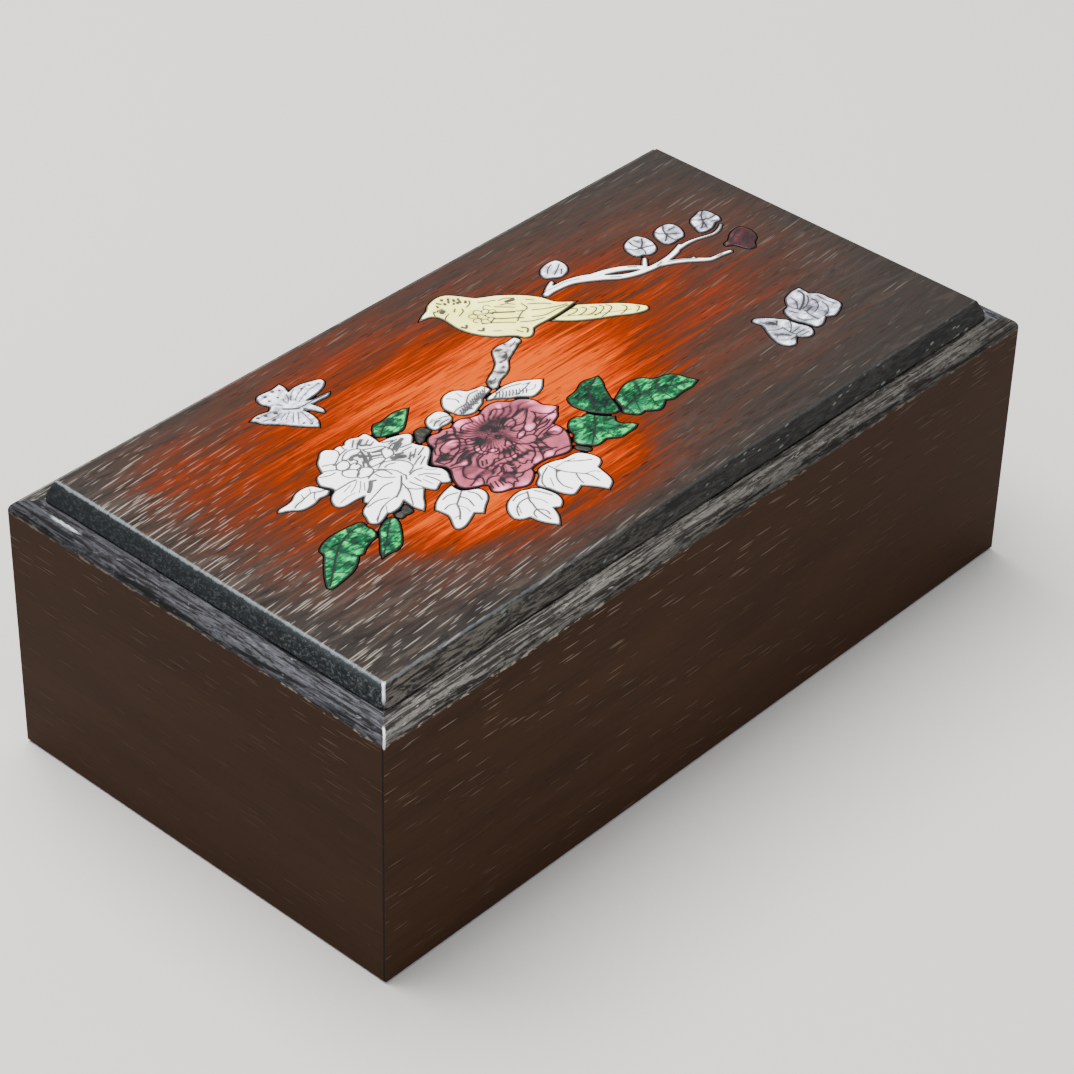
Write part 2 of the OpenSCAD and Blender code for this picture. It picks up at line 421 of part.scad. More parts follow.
module white_leaf_right() { inlay(WHITE_LEAF_RIGHT, SHELL); }
module green_leaf_top() { inlay(GREEN_LEAF_TOP, GREEN); }
module green_leaf_upper() { inlay(GREEN_LEAF_UPPER, GREEN); }
module green_leaf_lower() { inlay(GREEN_LEAF_LOWER, GREEN); }
module green_leaf_long() { inlay(GREEN_LEAF_LONG, GREEN); }
module green_leaf_big() { inlay(GREEN_LEAF_BIG, GREEN); }
module green_leaf_small() { inlay(GREEN_LEAF_SMALL, GREEN); }
module sepal_left() { inlay(SEPAL_LEFT, GREY); }
module sepal_mid() { inlay(SEPAL_MID, GREY); }
module sepal_right() { inlay(SEPAL_RIGHT, GREY); }
module butterfly_left() { inlay(BUTTERFLY_LEFT, PEARL); }
module butterfly_right_tail() { inlay(BUTTERFLY_RIGHT_TAIL, PEARL); }
module butterfly_right_wings() { inlay(BUTTERFLY_RIGHT_WINGS, PEARL); }

front_board();
back_board();
left_end_board();
right_end_board();
bottom_panel();
mitre_key(-1, -1);  // mitre_key_front_left
mitre_key(1, -1);  // mitre_key_front_right
mitre_key(-1, 1);  // mitre_key_back_left
mitre_key(1, 1);  // mitre_key_back_right
lid_panel();
lid_strip_front();
lid_strip_back();
lid_strip_left();
lid_strip_right();
bird_body();
bird_tail();
perch_stump();
plum_branch();
plum_bud();
plum_blossom_near();
plum_blossom_mid();
plum_blossom_far();
plum_blossom_dark();
pink_peony();
white_peony();
back_petal_left();
back_petal_mid();
back_petal_right();
white_leaf_tip();
white_leaf_left();
white_leaf_front();
white_leaf_right();
green_leaf_top();
green_leaf_upper();
green_leaf_lower();
green_leaf_long();
green_leaf_big();
green_leaf_small();
sepal_left();
sepal_mid();
sepal_right();
butterfly_left();
butterfly_right_tail();
butterfly_right_wings();
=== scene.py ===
# %% [markdown]
# # A lacquered box with an inlaid lid
# The box is dark open-pored hardwood. Its lift-off lid is stained orange in the middle and
# shaded to near black, and carries a picture in thin plates of shell and stone, let into pockets
# and engraved with inked lines. The wooden pieces come from the fixed frame. The plates are made
# here from the frame's own outlines, so each one still fits its pocket.

# %% Load the frame
import json
import math

import bpy
import numpy as np
from mathutils import Matrix, Vector
from mathutils.geometry import delaunay_2d_cdt

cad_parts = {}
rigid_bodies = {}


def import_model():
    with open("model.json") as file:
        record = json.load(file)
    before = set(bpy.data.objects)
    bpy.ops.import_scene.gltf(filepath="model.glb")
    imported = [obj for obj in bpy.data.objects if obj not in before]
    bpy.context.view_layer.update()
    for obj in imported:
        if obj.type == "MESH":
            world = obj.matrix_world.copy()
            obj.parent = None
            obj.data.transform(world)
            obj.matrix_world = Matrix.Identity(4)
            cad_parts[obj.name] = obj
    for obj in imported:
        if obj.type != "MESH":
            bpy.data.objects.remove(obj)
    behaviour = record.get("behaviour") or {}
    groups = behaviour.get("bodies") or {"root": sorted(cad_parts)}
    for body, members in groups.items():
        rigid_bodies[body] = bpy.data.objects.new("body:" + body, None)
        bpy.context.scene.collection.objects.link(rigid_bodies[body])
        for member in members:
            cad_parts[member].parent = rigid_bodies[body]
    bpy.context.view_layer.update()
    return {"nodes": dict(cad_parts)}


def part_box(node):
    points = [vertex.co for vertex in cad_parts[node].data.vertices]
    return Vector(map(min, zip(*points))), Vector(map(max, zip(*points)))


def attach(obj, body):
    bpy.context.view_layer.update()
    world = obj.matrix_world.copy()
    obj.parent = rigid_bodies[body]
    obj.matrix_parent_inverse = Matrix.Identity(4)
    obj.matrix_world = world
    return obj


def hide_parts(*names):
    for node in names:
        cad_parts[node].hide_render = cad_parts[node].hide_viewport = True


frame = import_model()
NODES = frame["nodes"]
print("frame:", len(NODES), "pieces")

# %% [markdown]
# ## Sizes taken from the frame
# Every height and edge that a finish follows is read from the pieces, in metres, so that the
# colours stay on the right edges. MM turns a length written in millimetres into metres.

# %% Sizes
MM = 0.001
BOARD_LOW, BOARD_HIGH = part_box("front_board")
LID_LOW, LID_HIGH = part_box("lid_panel")
INLAY_LOW, INLAY_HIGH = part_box("pink_peony")
RIM_Z = BOARD_HIGH[2]
LID_TOP = LID_HIGH[2]
HALF_L, HALF_W = -BOARD_LOW[0], -BOARD_LOW[1]
LID_SLOPE = 2.6 * MM
LID_TOP_L = LID_HIGH[0] - LID_SLOPE
LID_TOP_W = LID_HIGH[1] - LID_SLOPE
print("rim at", round(RIM_Z, 4), "lid top at", round(LID_TOP, 4))
print("plates up to", round(INLAY_HIGH[2], 4))

# %% [markdown]
# ## Camera
# A long lens from the box's left front corner, a little over 36 degrees above the table. It is
# placed by angles round the box, and then turned by a small roll, as a hand-held camera is.

# %% Camera
TURN, RISE, ROLL = math.radians(-48.26), math.radians(36.78), math.radians(1.46)
LENS, SENSOR, AWAY = 117.2, 36.0, 0.9879
TARGET = Vector((-0.0015, -0.0035, 0.0399))
back = Vector((math.sin(TURN) * math.cos(RISE), -math.cos(TURN) * math.cos(RISE), math.sin(RISE)))
level = (-back).cross(Vector((0, 0, 1))).normalized()
upright = level.cross(-back)
right = level * math.cos(ROLL) + upright * math.sin(ROLL)
up = upright * math.cos(ROLL) - level * math.sin(ROLL)
camera = bpy.data.objects.new("camera", bpy.data.cameras.new("camera"))
camera.data.lens, camera.data.sensor_width = LENS, SENSOR
facing = Matrix((right, up, back)).transposed().to_4x4()
camera.matrix_world = Matrix.Translation(TARGET + back * AWAY) @ facing
bpy.context.scene.collection.objects.link(camera)
bpy.context.scene.camera = camera
print("camera at", [round(c, 3) for c in camera.matrix_world.translation])

# %% [markdown]
# ## Floor and light
# The floor is one plain pale sheet. A wide lamp above the far side of the box and an even sky
# give the soft light of a room, in which the satin lacquer shows a faint grey veil. On the lid's
# far side a grey sheen is also painted into the colour.

# %% Floor and light
FLOOR_HALF, FLOOR_DROP = 4.0, 0.0003


def grid_mesh(name, points, faces):
    """A mesh object from an array of points and a list of faces, at the origin and unturned."""
    mesh = bpy.data.meshes.new(name)
    mesh.from_pydata(points, [], faces)
    mesh.validate()
    piece = bpy.data.objects.new(name, mesh)
    bpy.context.scene.collection.objects.link(piece)
    return piece


corner = np.array([[-1, -1], [1, -1], [1, 1], [-1, 1]]) * FLOOR_HALF
floor = grid_mesh("floor", [(x, y, -FLOOR_DROP) for x, y in corner], [(0, 1, 2, 3)])
floor_finish = bpy.data.materials.new("pale_floor")
floor_finish.use_nodes = True
floor_shader = floor_finish.node_tree.nodes["Principled BSDF"]
floor_shader.inputs["Base Color"].default_value = (0.40, 0.39, 0.375, 1)
floor_shader.inputs["Roughness"].default_value = 0.75
floor.data.materials.append(floor_finish)

world = bpy.data.worlds.new("room")
world.use_nodes = True
world.node_tree.nodes["Background"].inputs["Color"].default_value = (0.93, 0.97, 1.0, 1)
world.node_tree.nodes["Background"].inputs["Strength"].default_value = 1.15
bpy.context.scene.world = world


def lamp(name, place, aim, size, power, colour):
    """A square soft lamp at a place, turned to shine at a point."""
    data = bpy.data.lights.new(name, "AREA")
    data.shape, data.size, data.energy, data.color = "SQUARE", size, power, colour
    light = bpy.data.objects.new(name, data)
    light.location = place
    light.rotation_euler = (Vector(aim) - Vector(place)).to_track_quat("-Z", "Y").to_euler()
    bpy.context.scene.collection.objects.link(light)


lamp("ceiling_lamp", (-0.1, 0.5, 1.6), (0, 0, 0.05), 1.3, 104, (1.0, 0.985, 0.96))
lamp("window_lamp", (-0.3, -1.5, 0.9), (0, 0, 0.05), 0.9, 7, (0.92, 0.96, 1.0))
print("floor and lamps are in place")

# %% [markdown]
# ## Writing shader maths as sums
# A finish is worked out from a point's place on the piece. Link wraps one output of a node, so
# that ordinary sums on it add Math nodes, and Paint builds one material round such links.


# %% Link and Paint
class Link:
    """One node output, which takes part in sums like a number."""

    def __init__(self, paint, socket):
        self.paint, self.socket = paint, socket

    def maths(self, operation, *others):
        inputs = dict(enumerate((self,) + others))
        return self.paint.node("ShaderNodeMath", {"operation": operation}, inputs)

    def reflected(self, operation, other):
        return self.paint.node("ShaderNodeMath", {"operation": operation}, {0: other, 1: self})

    def __add__(self, other):
        return self.maths("ADD", other)

    def __sub__(self, other):
        return self.maths("SUBTRACT", other)

    def __mul__(self, other):
        return self.maths("MULTIPLY", other)

    def __truediv__(self, other):
        return self.maths("DIVIDE", other)

    def __pow__(self, other):
        return self.maths("POWER", other)

    def __rsub__(self, other):
        return self.reflected("SUBTRACT", other)

    __radd__, __rmul__ = __add__, __mul__

    def size(self):
        return self.maths("ABSOLUTE")

    def most(self, other):
        return self.maths("MAXIMUM", other)

    def rise(self, low, high):
        """0 below low, 1 above high and a smooth step between. It falls where low is the larger."""
        settings = {"interpolation_type": "SMOOTHSTEP"}
        if low < high:
            limits = {0: self, 1: low, 2: high, 3: 0.0, 4: 1.0}
        else:
            limits = {0: self, 1: high, 2: low, 3: 1.0, 4: 0.0}
        return self.paint.node("ShaderNodeMapRange", settings, limits)


class Paint:
    """One material. node() adds any node, with its settings first and then its inputs."""

    def __init__(self, name):
        self.material = bpy.data.materials.new(name)
        self.material.use_nodes = True
        self.tree = self.material.node_tree
        self.shader = self.tree.nodes["Principled BSDF"]
        self.place = self.node("ShaderNodeTexCoord", output="Object")
        parts = self.tree.nodes.new("ShaderNodeSeparateXYZ")
        self.put(parts.inputs[0], self.place)
        self.x, self.y, self.z = (Link(self, parts.outputs[i]) for i in range(3))

    def put(self, socket, value):
        if isinstance(value, Link):
            self.tree.links.new(value.socket, socket)
        else:
            socket.default_value = value

    def node(self, kind, settings=None, inputs=None, output=0):
        made = self.tree.nodes.new(kind)
        for key, value in (settings or {}).items():
            setattr(made, key, value)
        for key, value in (inputs or {}).items():
            self.put(made.inputs[key], value)
        return Link(self, made.outputs[output])

    def attribute(self, name):
        return self.node("ShaderNodeAttribute", {"attribute_name": name}, output="Fac")

    def stretched(self, cells, tilt=0.0):
        """The place in cells with the given lengths in millimetres, turned by tilt degrees."""
        turned = self.place
        if tilt:
            angles = (0, 0, math.radians(tilt))
            turned = self.node("ShaderNodeMapping", None, {"Vector": turned, "Rotation": angles})
        per_metre = [1 / (c * MM) for c in cells]
        return self.node("ShaderNodeMapping", None, {"Vector": turned, "Scale": per_metre})

    def noise(self, cells, detail=3.0, rough=0.55, bend=0.0):
        """Soft noise from 0 to 1 whose lumps have the given lengths in millimetres."""
        values = {"Vector": self.stretched(cells), "Scale": 1.0, "Detail": detail, "Roughness": rough,
                  "Distortion": bend}
        return self.node("ShaderNodeTexNoise", {"noise_dimensions": "3D"}, values, "Fac")

    def dashes(self, cells, fill, ragged=0.12, tilt=0.0):
        """1 on short dashes, one to a cell, and 0 between. fill is a dash's half length in cells."""
        values = {"Vector": self.stretched(cells, tilt), "Scale": 1.0, "Randomness": 1.0}
        away = self.node("ShaderNodeTexVoronoi", {"feature": "F1"}, values, "Distance")
        wobble = self.noise([c * 0.3 for c in cells], 2.0) * ragged
        return (away + wobble).rise(fill + 0.09, fill - 0.03)

    def mix(self, factor, first, second, blend="MIX"):
        """first where factor is 0, second where it is 1, as colours."""
        colours = {6: first if isinstance(first, Link) else (*first, 1.0),
                   7: second if isinstance(second, Link) else (*second, 1.0)}
        settings = {"data_type": "RGBA", "blend_type": blend, "clamp_factor": True}
        return self.node("ShaderNodeMix", settings, {0: factor, **colours}, 2)

    def ramp(self, value, stops):
        """A colour that goes through the stops (place, colour) as value rises."""
        made = self.tree.nodes.new("ShaderNodeValToRGB")
        points = made.color_ramp.elements
        while len(points) < len(stops):
            points.new(0.5)
        for point, (place, colour) in zip(points, stops):
            point.position, point.color = place, (*colour, 1.0)
        self.put(made.inputs[0], value)
        return Link(self, made.outputs[0])

    def bump(self, height, depth):
        """Tilts the surface as if height 1 stood depth millimetres above height 0."""
        values = {"Height": height, "Strength": 1.0, "Distance": depth * MM}
        self.put(self.shader.inputs["Normal"], self.node("ShaderNodeBump", None, values))

    def set(self, **sockets):
        """Sets the shader's own sockets: Base_Color stands for "Base Color", and so on."""
        for name, value in sockets.items():
            self.put(self.shader.inputs[name.replace("_", " ")], value)
        return self.material


print("shader maths ready")

# %% [markdown]
# ## Dark wood of the four sides
# The sides are stained dark brown and waxed. Their open pores hold pale dust, so they show as
# short light dashes along the grain. The rounded rim is rubbed back to grey, with a ragged
# boundary below it, and a painted sheen on that grey fades from the front-left corner towards the
# far ends. The front-left corner is worn bright and also carries a painted highlight, as does a
# short stretch of the left end's inner rim arris. The grain runs along X in the long boards and
# along Y in the end boards, so one function takes the direction.

# %% Side boards
FACE_BROWN = (0.0360, 0.0160, 0.0072)
FACE_DEEP = (0.0190, 0.0085, 0.0042)
DUST = (0.17, 0.125, 0.09)
JOINT_BLACK = (0.004, 0.003, 0.003)
BARE_WOOD, BARE_INSIDE = (0.26, 0.22, 0.18), (0.055, 0.028, 0.016)
# On the next line: worn wood with a painted highlight for the front-left corner, then a painted
# highlight spot for the left end's rim.
CORNER_WEAR_AND_HIGHLIGHT, RIM_HIGHLIGHT_SPOT = (0.62, 0.64, 0.62), (0.62, 0.68, 0.7)


def lengths(along, across, axis):
    """Cell lengths that are long on the grain's axis (0 for X, 1 for Y) and short on the others."""
    return [along if i == axis else across for i in range(3)]


def board_wood(name, axis, rim_colour, dust_share):
    """Stained board: dark streaky face, dusty pores, worn grey rim and arrises, painted sheen and
    highlights.
    """
    wood = Paint(name)
    run = wood.x if axis == 0 else wood.y
    out = (wood.y.size() - HALF_W).most(wood.x.size() - HALF_L)
    streak = wood.noise(lengths(26, 0.9, axis), 4.0, 0.6, 0.4)
    broad = wood.noise(lengths(70, 9, axis), 3.0)
    tint = 1 - wood.x.rise(-0.05, 0.13) * 0.5
    brown = (streak * 0.5 + broad * 0.5).rise(0.2, 0.75) * tint * (1 - 0.45 * axis)
    face = wood.mix(brown, FACE_DEEP, FACE_BROWN)
    high = wood.z.rise(RIM_Z - 40 * MM, RIM_Z - 4 * MM)
    dusty = (wood.noise(lengths(30, 5, axis)) + high * 0.08).rise(0.44, 0.6)
    pores = wood.dashes(lengths(15, 1.0, axis), 0.27, 0.2) * dusty
    face = wood.mix(pores * (0.3 + high * 0.5) * dust_share * (tint * 1.4 - 0.4), face, DUST)
    slit_zone = wood.noise(lengths(20, 7, axis)).rise(0.52, 0.62)
    slits = wood.dashes(lengths(14, 1.3, axis), 0.14) * slit_zone
    face = wood.mix(slits * 0.6, face, JOINT_BLACK)
    at_end = (wood.x + HALF_L).rise(0.2 * MM, 0.05 * MM)
    joint = (wood.y + HALF_W - 0.55 * MM).size().rise(0.5 * MM, 0.2 * MM) * at_end
    face = wood.mix(joint * 0.9, face, JOINT_BLACK)
    ragged = wood.noise(lengths(5, 1.1, axis), 4.0, 0.7) * (2.4 * MM)
    rim = (wood.z + ragged).rise(RIM_Z - 2.7 * MM, RIM_Z - 1.5 * MM)
    lines = wood.noise(lengths(20, 1.0, axis), 5.0, 0.65, 0.6)
    spots = wood.noise(lengths(4.5, 0.9, axis), 5.0, 0.7, 0.6)
    # near is 1 towards the front-left end of each board and 0 at the far end; the painted light on the
    # rim and the chips fades with it.
    near = (run * -1).rise(-0.05, 0.13)
    grey = wood.mix(lines.rise(0.42, 0.56), tuple(0.13 * c for c in rim_colour), rim_colour)
    grey = wood.mix(spots.rise(0.5, 0.6) * 0.8, grey, tuple(0.1 * c for c in rim_colour))
    grey = wood.mix(spots.rise(0.42, 0.32) * 0.8, grey, tuple(2.2 * c for c in rim_colour))
    # Worn grey rim with a painted sheen: full near the front-left corner, darkening to under half
    # towards the far ends.
    grey = wood.mix(0.45 + near * 0.55, tuple(0.05 * c for c in rim_colour), grey)
    colour = wood.mix(rim * 0.95, face, grey)
    wander = (wood.noise(lengths(5, 1.6, axis), 3.0, 0.7) - 0.5) * (3 * MM)
    edge_band = (wood.z - (RIM_Z - 3.4 * MM)).size() + wander
    broken = wood.noise(lengths(3.5, 1.2, axis), 3.0, 0.6).rise(0.5, 0.58)
    chips = edge_band.rise(0.55 * MM, 0.2 * MM) * broken
    # Bare chips below the rim, shown most near the front-left corner, with the same painted light fade.
    colour = wood.mix(chips * (0.3 + 0.6 * near), colour, BARE_WOOD)
    # Wear and a painted highlight: a pale streak down the rim's rounding at the front-left corner.
    across = ((wood.x + HALF_L) - (wood.y + HALF_W)).size() + (spots - 0.5) * (0.8 * MM)
    corner_wear_and_highlight = across.rise(0.55 * MM, 0.25 * MM) * wood.z.rise(RIM_Z - 4.2 * MM, RIM_Z - 3.4 * MM)
    corner_wear_and_highlight = corner_wear_and_highlight * (wood.x + HALF_L).rise(3.4 * MM, 2.2 * MM)
    colour = wood.mix(corner_wear_and_highlight * 0.9, colour, CORNER_WEAR_AND_HIGHLIGHT)
    # Painted highlight: a short pale spot on the inner arris of the left end's rim, near the back, on
    # the end boards only.
    bright = wood.x.rise(0.0, -0.05) * run.rise(0.044, 0.048) * run.rise(0.0575, 0.0545)
    inner_arris = (out + (spots - 0.5) * (2 * MM) + 3.6 * MM).size().rise(0.6 * MM, 0.2 * MM)
    bright = bright * inner_arris * (0.45 * axis)
    inside = out.rise(-3.4 * MM, -9.4 * MM) * wood.z.rise(RIM_Z - 1.0 * MM, RIM_Z - 2.4 * MM)
    colour = wood.mix(inside * 0.8, colour, BARE_INSIDE)
    # The painted highlight spot goes on last.
    colour = wood.mix(bright * 0.9, colour, RIM_HIGHLIGHT_SPOT)
    wood.bump(streak * 0.5 - pores * 0.8 - slits + (lines + spots * 1.5) * rim * 1.1, 0.14)
    return wood.set(Base_Color=colour, Roughness=0.45 + streak * 0.16 + rim * 0.12,
                    Specular_IOR_Level=0.04)


LONG_WOOD = board_wood("long_board_wood", 0, (0.100, 0.095, 0.087), 1.0)
END_WOOD = board_wood("end_board_wood", 1, (0.068, 0.071, 0.081), 0.25)


def dress(node, material):
    """Gives a CAD piece one finish all over."""
    slots = NODES[node].data.materials
    slots.clear()
    slots.append(material)


for board in ("front_board", "back_board"):
    dress(board, LONG_WOOD)
for board in ("left_end_board", "right_end_board"):
    dress(board, END_WOOD)
print("side boards dressed")

# %% [markdown]
# ## Plain wood inside
# The bottom panel, the strips under the lid and the hidden tongues are bare hardwood. They show
# only when the lid is lifted, so their finish is quieter: a grain, a few pores and some waxing.


# %% Plain wood
def plain_wood(name, axis, light, dark):
    """Bare hardwood with grain lines and fine pores."""
    wood = Paint(name)
    grain = wood.noise(lengths(38, 1.6, axis), 4.0, 0.6, 0.8)
    pores = wood.dashes(lengths(6, 0.7, axis), 0.22)
    colour = wood.mix(grain.rise(0.25, 0.75), dark, light)
    colour = wood.mix(pores * 0.55, colour, tuple(0.25 * c for c in dark))
    wood.bump(grain - pores, 0.08)
    return wood.set(Base_Color=colour, Roughness=0.55 + grain * 0.15, Specular_IOR_Level=0.35)


PLAIN_X = plain_wood("plain_wood_long", 0, (0.14, 0.068, 0.034), (0.062, 0.028, 0.014))
PLAIN_Y = plain_wood("plain_wood_short", 1, (0.14, 0.068, 0.034), (0.062, 0.028, 0.014))
KEY_WOOD = plain_wood("tongue_wood", 2, (0.3, 0.19, 0.1), (0.18, 0.1, 0.05))
for node in ("bottom_panel", "lid_strip_front", "lid_strip_back"):
    dress(node, PLAIN_X)
for node in ("lid_strip_left", "lid_strip_right"):
    dress(node, PLAIN_Y)
for node in NODES:
    if node.startswith("mitre_key"):
        dress(node, KEY_WOOD)
print("plain wood dressed")

# %% [markdown]
# ## Sunburst lid
# The lid is stained orange round the flowers and shaded by hand to red-brown and then to black,
# and lacquered. The glow is a sum of soft round spots, written in millimetres from the lid's
# centre and pulled about along the grain by noise. Pale pores lie over it, thickest at the left
# end, and a grey sheen is painted over its far side. The pockets are filled black round the
# plates, and the sloped edge is worn to grey, with painted highlights on its upper arris and at
# the front-left corner.

# %% Lid
# Each spot of the glow: x, y, reach in x, reach in y, strength
GLOW = [(-12, 0, 58, 32, 0.26), (8, -2, 24, 20, 0.30), (-62, -24, 18, 10, 0.34),
        (-20, 18, 44, 12, 0.20), (-52, 32, 34, 16, 0.08), (-44, -33, 18, 9, 0.38),
        (-10, -38, 12, 9, 0.32), (36, 4, 28, 26, -0.12), (-100, 42, 18, 16, 0.12),
        (74, 12, 34, 28, -0.04), (20, 46, 60, 14, -0.18), (-32, -50, 40, 10, 0.17),
        (22, -40, 30, 14, -0.16), (-116, -4, 10, 60, -0.10), (-66, 14, 26, 22, -0.10),
        (48, -22, 26, 14, -0.12)]
# The wide brown ground below them is flat in the middle and falls off fast, with the same figures
GROUND = (-9, 11, 123, 63, 0.57)
BLACK_STAIN = (0.0140, 0.0112, 0.0098)
STAIN = [(0.0, BLACK_STAIN), (0.14, (0.0205, 0.0128, 0.0100)), (0.3, (0.031, 0.0125, 0.0080)),
         (0.46, (0.056, 0.0120, 0.0045)), (0.64, (0.125, 0.0115, 0.0010)),
         (0.82, (0.235, 0.0185, 0.0003)), (1.0, (0.360, 0.0470, 0.0003))]

lid = Paint("sunburst_lid_wood")
wander = (lid.noise([40, 7, 30], 3.0) - 0.5) * 10
x_mm = lid.x * 1000 + (lid.noise([18, 2.4, 18], 4.0, 0.65) - 0.5) * 30
y_mm = lid.y * 1000 + wander


def spread_of(gx, gy, rx, ry):
    """How far out a place is from a spot's middle, 1 at its reach, squared."""
    return ((x_mm - gx) / rx) ** 2.0 + ((y_mm - gy) / ry) ** 2.0


glow = ((spread_of(*GROUND[:4]) ** 2.0) * -1).maths("EXPONENT") * GROUND[4]
for *spot, power in GLOW:
    glow = glow + (spread_of(*spot) * -1).maths("EXPONENT") * power
side_gap = (lid.x.size() - LID_TOP_L).most(lid.y.size() - LID_TOP_W)
fibre = lid.noise([14, 0.6, 15], 5.0, 0.7, 0.4)
vein = lid.noise([42, 2.0, 40], 4.0, 0.6, 0.6)
streaky = glow + (fibre - 0.5) * (0.45 + glow * 1.0) + (vein - 0.5) * (0.4 + glow * 1.1)
edge_dark = side_gap.rise(-12 * MM, -1 * MM) * 0.08
stain = lid.ramp((streaky - edge_dark).maths("MAXIMUM", 0.0), STAIN)

PORE_TILT = -4.0
near_left = (lid.x * -1 + lid.y * -0.25).rise(0.045, 0.112)
front_left = (lid.x * -0.45 - lid.y).rise(0.05, 0.105)
dusty = near_left.most(front_left)
bent = lid.noise([30, 6, 30], 2.0)
long_pores = lid.dashes([18, 1.0, 15], 0.3, 0.2, PORE_TILT) * (bent + dusty * 0.22).rise(0.49, 0.62)
short_zone = (lid.noise([14, 4, 14]) + dusty * 0.2).rise(0.5, 0.62)
short_pores = lid.dashes([9, 0.8, 7], 0.27, 0.2, PORE_TILT) * short_zone
pores = long_pores.most(short_pores * 0.7)
dust_colour = lid.mix(glow.rise(0.3, 0.75), (0.150, 0.134, 0.116), (0.30, 0.06, 0.006))
dark_pores = lid.dashes([9, 0.8, 7], 0.24, 0.18) * lid.noise([20, 3, 20]).rise(0.42, 0.56)
top = lid.mix(dark_pores * (0.7 - dusty * 0.3), stain, (0.012, 0.004, 0.002))
# Painted sheen: a grey veil mixed into the colour towards the far end and the back of the lid top.
painted_far_sheen = lid.x.rise(0.02, 0.125) * 0.3 + lid.y.rise(0.02, 0.07) * 0.4
top = lid.mix(painted_far_sheen * 0.4, top, (0.020, 0.017, 0.016))
marble = lid.noise([22, 3.5, 20], 5.0, 0.65, 1.0)
dark_zone = glow.rise(0.5, 0.25)
blacker, paler = marble.rise(0.47, 0.36) * dark_zone, marble.rise(0.52, 0.64) * dark_zone
top = lid.mix(blacker * (0.25 + dusty * 0.5), top, (0.0055, 0.0045, 0.0038))
top = lid.mix(paler * (0.3 + dusty * 0.5), top, (0.036, 0.027, 0.022))
top = lid.mix(pores * (0.22 + dusty * 0.65), top, dust_colour)

# Sloped edge: blue-black end grain at the ends, grey-brown long grain at the front and back
is_end = (lid.x.size() - LID_HIGH[0] - (lid.y.size() - LID_HIGH[1])).rise(-0.1 * MM, 0.1 * MM)
speck = lid.noise([0.8, 1.3, 0.8], 4.0, 0.75)
nearer = lid.y.rise(0.04, -0.07)
pitted = speck.rise(0.46, 0.72) * (0.4 + nearer * 0.6)
end_grain = lid.mix(pitted, (0.0050, 0.0062, 0.0072), (0.060, 0.066, 0.068))
upper_half = (side_gap + speck * (1.6 * MM)).rise(1.9 * MM, 0.7 * MM) * (0.15 + nearer * 0.45)
end_grain = lid.mix(upper_half, end_grain, (0.045, 0.055, 0.061))
swirl = lid.noise([9, 1.2, 1.2], 5.0, 0.7, 1.6)
long_grain = lid.mix(swirl.rise(0.42, 0.60), (0.010, 0.0085, 0.0075), (0.085, 0.073, 0.062))
# The long-grain edges' grey-brown swirls show fully at the left end and fade to near black past the
# middle.
paler_toward_left = (lid.x * -1).rise(-0.02, 0.12)
long_grain = lid.mix(0.2 + paler_toward_left * 0.8, (0.0060, 0.0066, 0.0062), long_grain)
flecks = lid.dashes([7, 1.1, 1.6], 0.3, 0.25, -12.0) * lid.noise([12, 3, 3], 3.0).rise(0.46, 0.56)
long_grain = lid.mix(flecks * 0.8, long_grain, (0.105, 0.118, 0.106))
edge_colour = lid.mix(is_end, long_grain, end_grain)
on_slope = side_gap.rise(0.0 * MM, 0.35 * MM)
colour = lid.mix(on_slope, top, edge_colour)
# Worn upper arris with a painted highlight, strongest on the left end and at the front near the left,
# faint elsewhere, cut ragged by the pores
tooth = lid.noise([1.6, 1.6, 1.6], 4.0, 0.7) * 1.3
arris = ((side_gap + 0.1 * MM).size() / (0.75 * MM) + tooth).rise(1.25, 0.75)
left_arris = is_end * (lid.x * -1).rise(0, 0.05)
front_arris = (lid.y * -1).rise(0, 0.05) * (1 - is_end) * (lid.x * -1).rise(-0.02, 0.12) * 0.28
colour = lid.mix(arris * (left_arris * 0.6).most(front_arris).most(0.06), colour, (0.15, 0.19, 0.21))
# Wear and a painted highlight: a pale line down the sloped edge at the lid's front-left corner.
across = ((lid.x + LID_HIGH[0]) - (lid.y + LID_HIGH[1])).size() + (speck - 0.5) * (1.2 * MM)
lid_corner = across.rise(0.8 * MM, 0.3 * MM) * (lid.x + LID_HIGH[0]).rise(5 * MM, 4 * MM)
lid_corner = lid_corner * side_gap.rise(-0.5 * MM, 0.1 * MM)
lid_corner = lid_corner * lid.z.rise(LID_LOW[2] + 1.5 * MM, LID_LOW[2] + 4 * MM)
colour = lid.mix(lid_corner * 0.9, colour, (0.7, 0.75, 0.75))
# Black filler in the pockets, below the top and away from the slope
in_pocket = lid.z.rise(LID_TOP - 0.03 * MM, LID_TOP - 0.12 * MM) * side_gap.rise(-1.2 * MM, -2.2 * MM)
colour = lid.mix(in_pocket, colour, (0.0035, 0.003, 0.003))
under = lid.z.rise(LID_LOW[2] + 0.4 * MM, LID_LOW[2] + 0.05 * MM)
colour = lid.mix(under, colour, BARE_INSIDE)
lid.bump(fibre * 0.35 - pores * 0.6 - dark_pores * 0.7 + speck * on_slope * 1.2, 0.14)
rough = 0.36 + fibre * 0.2 + dusty * 0.1 + on_slope * 0.12
coat = glow.rise(0.62, 0.2) * 0.2 + on_slope * 0.1
dress("lid_panel", lid.set(Base_Color=colour, Roughness=rough, Specular_IOR_Level=0.0, Coat_Weight=coat,
                           Coat_Roughness=0.3))
print("lid dressed,", len(lid.tree.nodes), "nodes")

